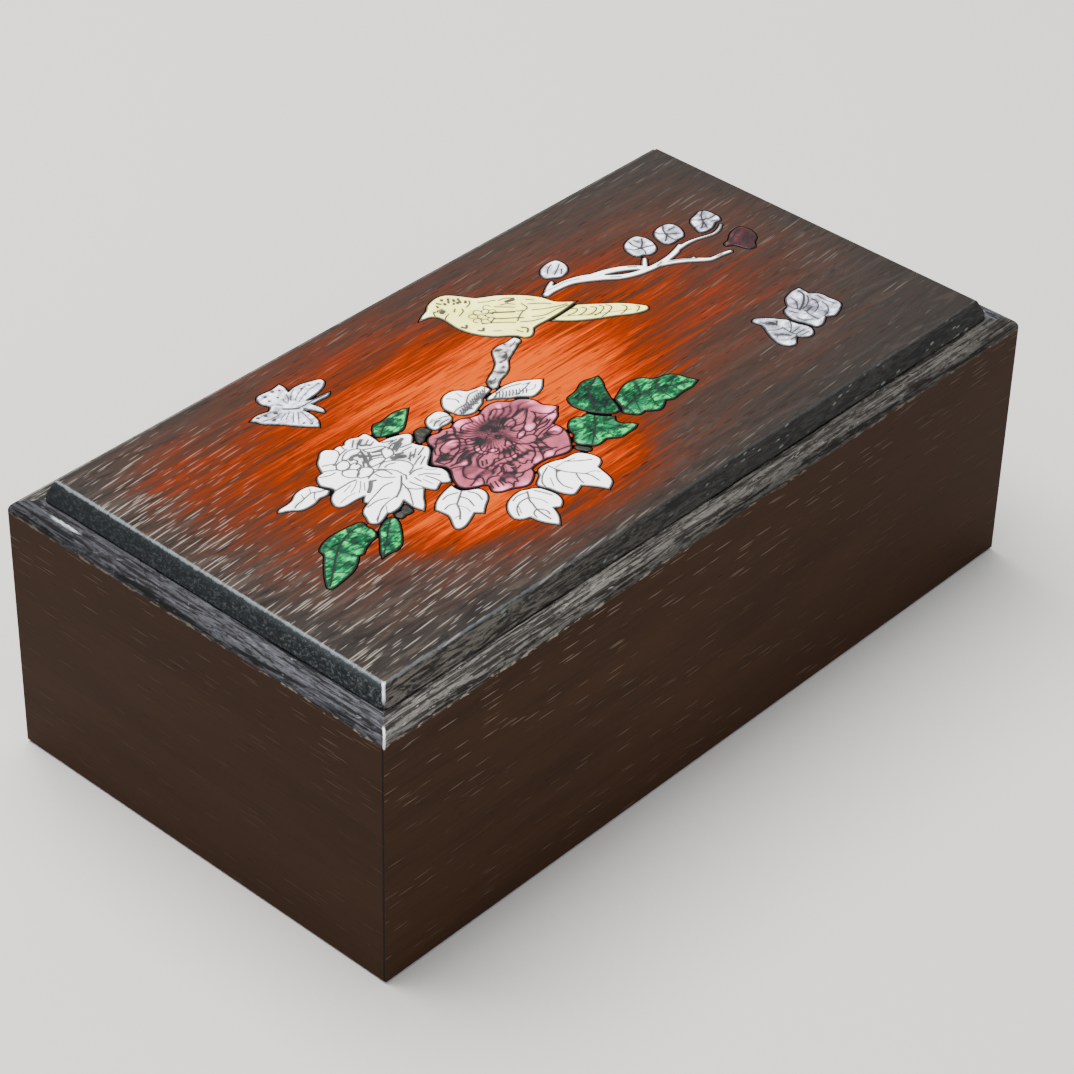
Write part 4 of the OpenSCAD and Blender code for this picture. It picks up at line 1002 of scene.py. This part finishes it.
plate("back_petal_left", "white_shell", WHITE, strokes("""
-33.4 6.4, -31.6 7.4, -30.2 7.2 / -29.7 7.9, -28.4 7.7, -26.9 6.9 / 0.1: -33.2 8.2, -31.4 8.8 /
0.2: -32 5.6, -30 6, -28.2 5.8"""),
      toned("-29 9.6 1.6 0.2", "-31.1 7.4 1.8 0.42, -28 6 1.2 0.3", 0.6))
MID_HATCH = hatch((-24.6, 4.4), (-13, 6.8), (1.8, 2.3), (2.6, 2.6), 13, 0.2)
plate("back_petal_mid", "white_shell", WHITE, MID_HATCH + strokes("""
0.16: -24.9 7, -22.6 7.6, -19.7 7.6, -17.6 9, -15.4 10.1, -12.6 9.8 / -21.4 13, -20 11,
-20.4 9.4 / 0.1: -17.6 13, -18 10.8 / 0.2: -22 6, -20 4.8 / 0.2: -19.4 6.8, -17 5.4 /
0.2: -16.4 7.4, -14.4 6.6"""),
      toned("-20 12.4 2.6 0.2", """
-20.6 6 2 0.42, -17 7 2 0.42, -14 8 1.8 0.36, -23.5 5.6 1.6 0.4, -18 10.4 1.2 0.2""", 0.62))
RIGHT_HATCH = hatch((-12, 3.6), (-4.2, -0.6), (2.2, 1.9), (1.7, 1.6), 10, 0.2)
plate("back_petal_right", "white_shell", WHITE, RIGHT_HATCH + strokes("""
0.16: -6.5 0.6, -4.4 1, -1.9 1.5, 0.4 2.2 / -12 4.2, -8.6 5.2, -5.2 4.8, -2 3.6 / 0.1: -3.4 0.2,
-1.2 -0.6, 0.8 0.4 / 0.1: -2 2.8, 0.4 2.2"""),
      toned("0 0 2 0.2, -4 -1.8 1.4 0.2", "-9 2.6 2 0.3, -6.6 1.6 1.4 0.24", 0.62))
plate("white_leaf_tip", "white_shell", WHITE, strokes("""
0.16: -85.6 6.5, -84 7.2, -82 7.5, -80.1 7.9, -77.8 8.2, -75.8 7.1, -74.4 6.7 / 0.12: -79.3 5.2,
-78.4 6.6, -77 7.7 / 0.1: -81 7.8, -80.2 9.6 / 0.1: -78 8.3, -77 9.8"""),
      toned("", "-83.6 7.4 2.2 0.2, -76 7 1.2 0.15", 0.62))
plate("white_leaf_left", "white_shell", WHITE, strokes("""
0.2: -49.8 -19.5, -51.7 -20.7, -53.2 -21.7, -54.8 -22.8, -56.3 -25.2, -59 -27.8 / -50.9 -19.2,
-53.6 -18.2, -55.9 -18.6 / -58.6 -21.9, -56.3 -21.5, -54.8 -22.3 / -51.7 -20.9, -51.1 -23.2,
-52.1 -26.3 / -48.6 -20.9, -47.7 -23.2, -48.6 -26 / 0.1: -54.9 -23.2, -54.2 -25.4, -54.6 -27.4 /
0.1: -57.4 -26.6, -59.6 -26.4"""), toned("-57 -20 3 0.1", "-52 -21 1.4 0.12", 0.64))
plate("white_leaf_front", "white_shell", WHITE, strokes("""
0.2: -37.7 -32, -39 -33.6, -40.2 -35.2, -40.9 -37.1, -41.7 -39, -42.1 -41.7, -42.3 -44.6 /
-39.4 -34, -42.5 -33.9, -45.2 -35.2, -47.1 -37.8 / -38 -32.2, -40.9 -31.5, -43.4 -32.1 /
-36 -32.9, -35 -35.5, -34.2 -37.8 / -41.7 -39, -43.6 -39.8, -44.4 -41.6 / -41.3 -39.4,
-40.4 -41.4, -40.9 -43 / 0.1: -39 -34.4, -37.8 -37, -37.7 -39.4 / 0.1: -44 -34.6, -45.8 -37.4"""),
      toned("", "-40 -35 1.5 0.12", 0.64))
plate("white_leaf_right", "white_shell", WHITE, strokes("""
0.16: -25.2 -28, -25 -30.5, -24 -33.2, -22.5 -35.5, -20.6 -38.6, -20.7 -42.3 / -22.8 -35.9,
-24 -38.4, -24.4 -40 / -25.5 -31.3, -27.8 -33.6, -29 -36.7, -28.4 -39.6 / -26 -28.4, -29.4 -29.9,
-32 -32.1, -32.8 -34.4 / -20.5 -30, -17.6 -32.6, -15 -34.4 / 0.4: -25.2 -31.2, -25 -31.5 /
0.1: -20.9 -37.6, -18.4 -38.4, -17.6 -40 / 0.1: -24.4 -30, -20.6 -30, -17.6 -30.8 /
0.1: -29 -32.2, -31 -35.4"""), toned("-18 -32 4 0.08", "-25 -31 1.4 0.16", 0.64))
print("pale petals and white leaves made")

# %% [markdown]
# ## Pink peony
# The large flower is stained raspberry pink. Each petal's edge is one inked line. Between the
# petals the plate is cut back to nearly black, and fine lines run out from the flower's heart into
# each gap's border, so a gap is an oval whose size swings quickly with the direction from the heart.

# %% Pink peony
PINK_LINES = strokes("""
-42.4 -3, -41.2 -1.4, -39.8 -.6, -38.4 .8, -36 1.5, -33.6 1.5, -32.6 2.3 / -31.6 3.8, -30.4 2.4,
-31.2 .8, -32.4 0 / -30 3.6, -30 2, -31.4 .2, -32.8 -1.2, -32 -3.2 / -30.4 -.8, -28.6 .8,
-26.8 1.1, -25.2 .6 / -24.4 3.3, -24 1.8, -24.6 .2 / -21 2.6, -20.2 1.2, -20.6 -.2 / -18.8 -.8,
-16.4 .4, -14.6 -1, -12.6 -1.4 / -11.8 2.2, -10.6 .6, -8.4 -.2 / -20.8 -7.8, -19.4 -6, -17.4 -5.2,
-15.6 -5.8, -13.8 -5.3, -10.8 -5.4 / -19.8 -7.4, -19.2 -8.6, -17.8 -8.9, -16.2 -7.7, -15.7 -6 /
-19.8 -9.4, -17.6 -9.2, -15.4 -9.8, -13.4 -8.9, -11.4 -7.4, -10 -6.4 / -20.2 -9.8, -19.4 -11.1,
-17.8 -11.5, -16 -10.8, -14.6 -10 / -9.6 -8.4, -10.6 -10, -12.6 -11.4, -13.4 -13, -15 -13.7,
-17 -13.9, -17.7 -12.8, -17 -11.5 / -21.7 -13.5, -20 -12.2, -18 -12, -17.8 -13, -19.4 -13.9,
-21.4 -14.1 / -9.8 -7.6, -9 -9.6, -8 -11, -6.4 -11.8, -3.8 -11.7 / -12.8 -13.2, -10.4 -12.2,
-8.2 -12, -5.6 -12.4 / -15.6 -14.3, -13.4 -13.6, -11 -13.8, -9.4 -13.2 / -17 -15.3, -14.6 -14.7,
-12 -14.9, -9 -13.9 / -17.6 -16.9, -14.4 -16.1, -11.4 -15.9, -9.4 -15.4 / -23.5 -14.6,
-22.8 -16.2, -21.2 -17.5, -19 -17.9, -17.6 -16.9, -17.4 -15.4, -19 -14.4, -21.6 -14.2 /
-14.8 -17.4, -14 -19, -12.6 -20.2, -10.8 -20, -9.2 -18.8 / -15.6 -17.6, -12.8 -16.8, -10.2 -16.7 /
-18.2 -19.2, -18.6 -21, -18.7 -23, -17.4 -24 / -22.6 -25.9, -20.6 -25.9, -18.6 -25.1, -16 -25.6,
-14 -26.2 / -22.6 -23.7, -20.8 -23, -18.8 -23.7 / -20 -18.2, -20.4 -20, -22 -22.4, -23.2 -24.4,
-25.2 -26 / -21.6 -18.2, -22.2 -20.2, -24 -22.2, -25.6 -22.9, -27.4 -24 / -35.8 -21.6,
-34.8 -22.7, -33.2 -23.3, -32.6 -21.6, -31.8 -22.9, -30.2 -22.6 / -29.6 -21.6, -28.8 -22.9,
-27.2 -22.4, -26.4 -23.6 / -33.9 -24, -32.6 -25, -30.6 -25.5, -28.4 -25.5, -27.2 -24.9 /
-38 -27.5, -36.8 -26.6, -36 -27.1, -35.2 -25.8, -33.6 -26.1, -31.6 -25.3 / -38 -25.4, -38.1 -27.4,
-39.6 -28.6 / -41.8 -22.4, -42.8 -24.6 / -40.4 -22.8, -41.4 -25.2 / -39.2 -23, -40 -25.7 /
-38.4 -23.2, -38.8 -25.4 / -46.2 -19.5, -44.8 -19.2, -42.6 -18.4, -41.5 -19.2, -42.8 -21.2,
-44.2 -22 / -42.3 -21.7, -41 -20.8, -39.4 -20.8, -37.8 -21.7 / -41.4 -12.6, -43.2 -13.8,
-44.4 -15.8, -44 -17.6, -42.6 -18.4 / -44.4 -10.4, -42.4 -11.2, -41.4 -12, -39.4 -12.8, -38 -12 /
-44.2 -7.8, -42 -8.2, -40 -7.4, -38.4 -7, -36.4 -7.2, -34.6 -6.8 / -43.6 -9.7, -41.6 -9.7,
-39.4 -8.6, -37.2 -8, -35 -7.8 / -39.6 -6.9, -40.6 -4.6, -40.4 -2.6, -38.8 -1.6, -36.6 -1.2,
-34.4 -1.4, -33.2 -2.6, -34 -3.9, -35.4 -5, -36.6 -6.2, -38.8 -6.7 / -38 -4.4, -36.6 -5,
-35.2 -4.4 / -41 -3.4, -42 -4.4, -44 -5, -44.6 -6.4, -44 -7.8 / -29.2 -6.8, -31 -7.2, -32.4 -7,
-33.2 -5.7, -32.2 -4.2, -31 -4.2, -30.6 -5.6, -29.4 -6.2 / -31 -8, -33 -8.2, -34 -9.8,
-33.8 -11.6, -32.8 -12.6, -31.8 -12, -32.6 -10.6, -31.2 -8.6 / -31.8 -12.4, -30.8 -11.6,
-29.2 -12.4, -29 -13.4, -30.2 -13.7, -31.6 -12.9 / -31.2 -14.4, -29.4 -15, -27.6 -14.4 /
-26.6 -13.6, -25.4 -12.6, -24.4 -12, -24.2 -13.6, -25 -14.8, -26.4 -14.6 / -34 -12.4, -36.4 -13,
-38 -14.6, -38.4 -16.2, -37 -17, -34.6 -16.7, -33 -15.8, -32 -16.5 / -37.4 -15.6, -36 -14 /
-36 -15.8, -34.8 -14.4 / -36 -17.5, -34 -16.9, -32.4 -17.1, -30.8 -17.2, -29.4 -18, -27.2 -18 /
-36.2 -18.7, -33.8 -18.2, -31.8 -19.2, -29.4 -19.8, -27.4 -19.3, -26.6 -18.2 / -38 -20,
-36.8 -18.8, -34.6 -18.8 / -37.6 -21, -35.8 -20.8, -34.4 -19.4 / -35.8 -21.8, -34.6 -20.6,
-33.8 -19.4, -32.4 -19.4, -32 -21 / -25.8 -17.8, -25.6 -16.2, -24.4 -15.2, -23.4 -15.4 /
-25.8 -9.6, -25 -9, -24.5 -9.8, -25.3 -10.2, -25.8 -9.6 / -23.6 -7, -22.2 -6.6, -21.4 -6.9""", 0.19)
# Dark gaps, as soft ovals: x, y, reach in x, reach in y, depth
GAPS = """
-35 0.4 2.8 0.9 1, -42 -5.9 2.2 1.2 1, -22 -3.9 7.4 2.4 1, -30 -1.5 3 1 0.8, -29.4 -8 2.2 3 0.9,
-24.4 -8.4 4.6 3 0.75, -37 -10 3.2 1.5 1, -41 -14.6 2.8 2.2 0.6, -39 -18.4 2.8 1.1 0.8,
-28 -16 2.6 1.2 1, -26.4 -19.8 4 0.8 1, -16.6 -18.5 3.6 0.8 0.9, -20.4 -21.6 1.4 1 0.9,
-36 -23.6 2.8 1.2 0.9, -23.2 -12.2 1.3 2.2 0.8, -11.4 -11.4 1.4 1.1 0.8, -34.6 -6 1.3 2 0.6,
-11.4 -5.2 3 0.8 0.6, -31.2 -20.4 1.2 1 0.7, -13 -3 2.6 1.4 0.45, -38.6 -5.2 1.6 0.6 0.3"""
PINK_GAPS = [[float(n) for n in gap.split()] for gap in GAPS.split(",")]
PINK_SHADES = toned("""
-28 2.2 2.2 .5, -22.4 1.4 1.3 .45, -14.4 .1 1.2 .4, -36 -2.2 1.6 .4, -6 -10.6 2 .5,
-15.6 -12.6 1.8 .4, -7.4 -12.8 1.4 .5, -11.6 -18 1.6 .45, -41.4 -26.4 2 .5, -25.4 -24.8 1.6 .4,
-21 -24.8 1.4 .5, -32.8 -9.8 1.2 .5, -30.4 -12.6 1.1 .6, -25 -12.8 1 .5, -25.2 -9.6 .7 .9,
-6.4 -4.4 1.2 .35, -20 -12.9 1.1 .5, -28.4 -18.9 1.2 .4, -35.6 -29.4 1.8 .3, -44.4 -20.6 1.4 .3,
-40 -11.6 .9 .4""", """
-38.6 2.4 2 .12, -37.6 -4 1.4 .25, -14.4 -22.4 3.6 .14, -46 -17 2.4 .1, -9.4 -3.4 2.6 .2""", 0.5)
HEART = (-25, -8)
FINE_TURNS, FINE_SWING, FINE_LEAST = 38, 1.1, 0.3
GAP_SPREAD = (1.06, 1.2)


def pink_tone(points):
    """PINK_SHADES, less each gap's depth times exp(-d4), with d the distance in the oval's reaches,
    made longer and shorter by the fine rays."""
    off = points - HEART
    turn, far = np.arctan2(off[:, 1], off[:, 0]), np.linalg.norm(off, axis=1)
    rays = 0.5 + 0.5 * np.cos(turn * FINE_TURNS + 2 * np.sin(far * 0.7))
    left = np.ones(len(points))
    for x, y, rx, ry, depth in PINK_GAPS:
        reach = (rx * GAP_SPREAD[0], ry * GAP_SPREAD[1])
        away = (((points - (x, y)) / reach) ** 2).sum(1) * (FINE_LEAST + FINE_SWING * rays)
        left = left * (1 - depth * np.exp(-(away**2)))
    return PINK_SHADES(points) * left


plate("pink_peony", "pink_shell", PINK, PINK_LINES, pink_tone)
print("pink peony made with", len(PINK_LINES), "lines and", len(PINK_GAPS), "gaps")

# %% [markdown]
# ## Green leaves and dark sepals
# The leaves are stained shell. They glitter in bands across the veins, so bright and dark spots are
# set along them. The three sepals are slips of dark stone that fill the gaps behind the flowers.

# %% Leaves and sepals
# Each leaf: its veins, its bright spots and its dark spots
LEAVES = {
    "green_leaf_top": ("""
0.16: -47.2 13, -44.3 15.2, -41.6 16.3, -38.6 17.3, -34.4 17.3 / -42.8 16.4, -40.1 14.2 /
-44.4 15, -43 12.6 / -41.8 16.4, -41 18 / -38.6 17.2, -37.4 15 / -45 15.2, -45.4 17""",
        """
-42 13.8 1.5 0.5, -38.2 17.6 1.5 0.45, -36.4 15.4 1.3 0.4, -34 17.4 1 0.55, -45.6 16.4 1 0.3""",
        "-40.6 15.4 1.2 0.4, -44 17.4 1 0.3"),
    "green_leaf_upper": ("""
0.2: 14.4 -9.4, 11.6 -10.6, 9.1 -11.8, 5.8 -15.6, 3.3 -19.8 / 9 -12, 8.6 -9.4 / 6.4 -14.6,
3 -11.8 / 7.6 -14, 10.6 -17 / 5.2 -16.6, 7.4 -21 / 4.6 -17.4, 1.6 -17.6""",
        "2.5 -15.6 1.3 0.4, 14 -9.8 1.2 0.4, 12.2 -11 1.2 0.35, 5.4 -10.8 1 0.25",
        "8 -18 3 0.3, 6 -12 1.6 0.3, 4 -21 2 0.3"),
    "green_leaf_lower": ("""
0.16: 3 -19.6, 0.6 -21.4, -2.5 -24.5, -6.3 -27.5, -9.4 -29.6 / -3 -23.6, -8.6 -22.2 / -4.8 -25.5,
-7.1 -29.4 / -2.8 -26, -2.5 -31.4 / -0.5 -25, 2.9 -31.8 / -1.4 -23.4, -3.4 -19.4 / -5.4 -26.6,
-10.4 -26.4 / 0.4 -24, 3.6 -26""",
        """
-11 -26.8 1.4 0.5, -6.3 -29 1.3 0.5, -2.8 -30.6 1.4 0.5, 1.4 -32 1.5 0.5, -3.2 -19.6 1.2 0.4,
1 -20.8 1.1 0.45, -7.4 -24 1.2 0.3, 4.6 -31.6 1.2 0.4, -5 -21.6 1.1 0.3""",
        "-4.6 -24 1.2 0.35, -8.6 -28 1 0.3, -0.6 -28.6 1.2 0.35, 2.6 -28.6 1 0.35"),
    "green_leaf_long": ("""
0.18: 7.9 -25, 11.4 -24.4, 15.2 -24.1, 20.6 -24.1, 26.4 -26.8, 32.4 -29.7 / 12 -24.4, 14.4 -19.4 /
17 -24, 20.6 -18.4 / 14 -24.4, 11.4 -28.6 / 19 -24.4, 16.4 -30.8 / 22.6 -25, 22.2 -30.4 /
22 -24.4, 26.4 -22 / 26 -26.6, 30.6 -24.4 / 26.6 -27, 26.4 -30.6 / 9.6 -24.8, 9.4 -28""",
        """
9.8 -28 1.2 0.45, 15.6 -30.6 1.4 0.5, 18.7 -27.5 1.5 0.35, 21.8 -29.6 1.4 0.45,
30.2 -30.2 1.6 0.5, 20.6 -22.9 1.3 0.4, 10.6 -22 1.2 0.35, 17.5 -18.3 1.6 0.45, 27 -29.4 1.4 0.4,
23.6 -19.6 1.3 0.35, 31 -26.6 1.1 0.3""",
        "13 -26.6 1.3 0.35, 16 -21.6 1.6 0.35, 24.4 -27 1.4 0.35, 28.4 -24 1.3 0.35, 19.4 -20.6 1 0.3"),
    "green_leaf_big": ("""
0.2: -102.7 -23.9, -97.7 -20, -92.7 -16, -87.7 -12.9, -82.7 -11.2, -78.4 -11 / -98 -20.4,
-95 -23.6 / -94 -17.2, -95 -14 / -91 -15, -91.4 -11 / -90.6 -15, -88.8 -19.6 / -86.4 -12.6,
-84.6 -17.6 / -87.4 -13, -87 -9.8 / -82.4 -11.2, -80.6 -16.4 / -94.6 -17.6, -92.2 -21.6 /
-83.4 -11.4, -82.6 -9.6""",
        """
-81.3 -12.4 1.5 0.5, -87 -13.6 1.5 0.45, -87.7 -18.6 1.2 0.4, -90.6 -19.6 1.3 0.4,
-79.4 -16 1.4 0.45, -97.4 -22 2 0.4, -101.4 -24 1.6 0.5, -84 -10 1.3 0.35, -93.6 -13.6 1.5 0.3,
-92 -18 1.2 0.25""",
        """
-84.7 -14.6 1.3 0.45, -89.3 -12.4 1.3 0.4, -89.6 -16.4 1.1 0.3, -82 -17 1 0.3, -96 -18.6 1.4 0.3"""),
    "green_leaf_small": ("""
0.18: -84.4 -24.8, -79.3 -21, -75 -17.3, -71.6 -14.8 / -79 -21, -76.4 -24 / -76 -18.4,
-73.4 -20.6 / -78 -20, -78.6 -17.6 / -82 -23, -80 -25""",
        """
-77.7 -18.4 1.3 0.45, -71.9 -15.7 1.2 0.45, -82.4 -23.6 1.2 0.45, -77.7 -23.2 1.4 0.4,
-74.4 -20 1.1 0.3""",
        "-79.8 -21.8 1.2 0.35, -75.4 -16.6 1 0.35")}
for node, (text, light, dark) in LEAVES.items():
    base = 0.32 if node == "green_leaf_upper" else 0.46
    plate(node, "green_shell", GREEN, strokes(text, 0.11), toned(light, dark, base))
for node in ("sepal_left", "sepal_mid", "sepal_right"):
    plate(node, "dark_stone", STONE)
print("leaves and sepals made")

# %% [markdown]
# ## Butterflies
# Two butterflies of grey pearl. The left one is pale lilac with small spots on its wings, and the
# right one is in two plates, a tail wing and a pair of front wings, clouded and banded.

# %% Butterflies
plate("butterfly_left", "grey_pearl", PEARL, strokes("""
0.3: -55.9 41.3, -54.4 39.8, -52.6 38.6 / -56.1 39, -58.9 37.3 / -55.3 38.2, -58.3 35.1 /
-54.4 37.3, -57.8 33.4 / -53.5 37.1, -53.9 35.1, -54.9 31 / -57 45.1, -55.9 44.2, -55 42.9 /
-52.8 44.8, -53.4 43.6, -53.3 42.3 / -50.6 45.9, -51.6 44, -52.8 42.9 / -50.8 42.1, -48.1 43.7,
-44.4 45 / -50.6 40.9, -45.6 42.7, -41 43.4 / -51.7 42.9, -49.4 45.1, -47.6 46 / -57.4 41.6,
-60.4 42.8, -63.6 43 / -57.4 40.4, -61 40.2, -64 41.2 / -57 39.4, -60 38.2 / 0.4: -58.9 41.4,
-58.7 41.3 / 0.35: -61.7 42.4, -61.6 42.3 / 0.35: -63.9 43.2, -63.8 43.1 / 0.35: -61.6 39.3,
-61.2 39.3 / 0.3: -56.8 32.6, -56.7 32.6 / 0.3: -55.6 30.9, -55.5 30.9 / 0.35: -55.6 49,
-55.4 49 / 0.35: -52.5 49.4, -52.3 49.4 / 0.3: -53.3 46.4, -53.2 46.4 / 0.3: -56.2 46.8,
-56.1 46.8 / 0.3: -50.6 48.6, -50.5 48.6 / 0.3: -45.8 44.8, -45.6 44.8 / 0.3: -43.1 44.6,
-43 44.6 / 0.25: -40.8 43.4, -40.6 43.4 / 0.2: -51.6 38.6, -47.4 38.6, -42.8 38.2 /
0.2: -51.9 37.6, -50.4 34.8""", 0.1),
      toned("-54.6 40.6 1.6 0.3, -45 42 4 0.25, -54 48 3.5 0.2, -57 35 3 0.25",
            "-61 41 2.4 0.2, -51.4 44.6 1.2 0.2", 0.66))
plate("butterfly_right_tail", "grey_pearl", PEARL, strokes("""
67.9 -24.1, 69.6 -27.4 / 0.5: 69.8 -26.4, 70 -27.4 / 65.9 -31.3, 67.6 -32.6, 69 -34.4 /
70.4 -30.2, 70.2 -32.4, 70.4 -35.4 / 70.7 -33, 73.2 -31.1, 74.3 -29.7 / 70.9 -33.8, 73.7 -33.6 /
70.4 -35.2, 73.7 -35.2 / 66.4 -28.4, 68.6 -30, 70.2 -30.4 / 64.6 -33.6, 66.6 -35.4 / 71.2 -36.6,
74 -36.8 / 0.2: 70 -28.4, 71.8 -27 / 0.2: 67.4 -35.8, 69.4 -36""", 0.14),
      toned("""
72.1 -28.6 1.4 0.4, 74 -31 1 0.35, 64.8 -35.6 1.6 0.4, 73 -37.6 1.4 0.3, 67 -23.4 1 0.3""",
            "69.6 -27 2 0.35, 71.4 -34.4 1.6 0.3, 67 -32 1.8 0.3", 0.5))
plate("butterfly_right_wings", "grey_pearl", PEARL, strokes("""
84 -22.2, 83.4 -24.7, 81 -27 / 0.26: 80.7 -28, 83.4 -26.9, 85.7 -25.5, 87.9 -23.6, 88.4 -21.4 /
81.8 -28.3, 84.6 -27.6, 86.8 -26.3, 88.2 -24.7 / 83.2 -31.6, 85.7 -30.8, 87.6 -28.8, 87.9 -26.6 /
83.4 -34.9, 86.2 -34.1, 88.2 -31.9, 88.7 -29.7 / 80.4 -23.6, 80.2 -25.4, 80.7 -27.2 / 77.3 -29.9,
77.4 -31.6, 77.9 -32.4, 79.8 -33.6 / 80.9 -34.6, 81 -31.6, 81.8 -29.1 / 0.2: 82 -29.8,
84.6 -29.4 / 90.4 -26.8, 90 -29.6, 90.6 -32.6 / 78.4 -26, 79 -28.4""", 0.15),
      toned("""
80.1 -30.5 1.5 0.35, 86 -23.4 1.8 0.3, 90.4 -31 1.4 0.35, 79.4 -35.6 1.6 0.3, 86.6 -35 1.4 0.3""",
            "84 -29.4 1.8 0.35, 82 -25 1.4 0.3, 88 -27.6 1.4 0.25, 85 -33 1.4 0.25", 0.46))
print("butterflies made")

# %% Finish
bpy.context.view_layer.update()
engraved = [piece for piece in bpy.data.objects if piece.name.endswith("_engraved")]
print("plates hold", sum(len(piece.data.polygons) for piece in engraved), "faces")
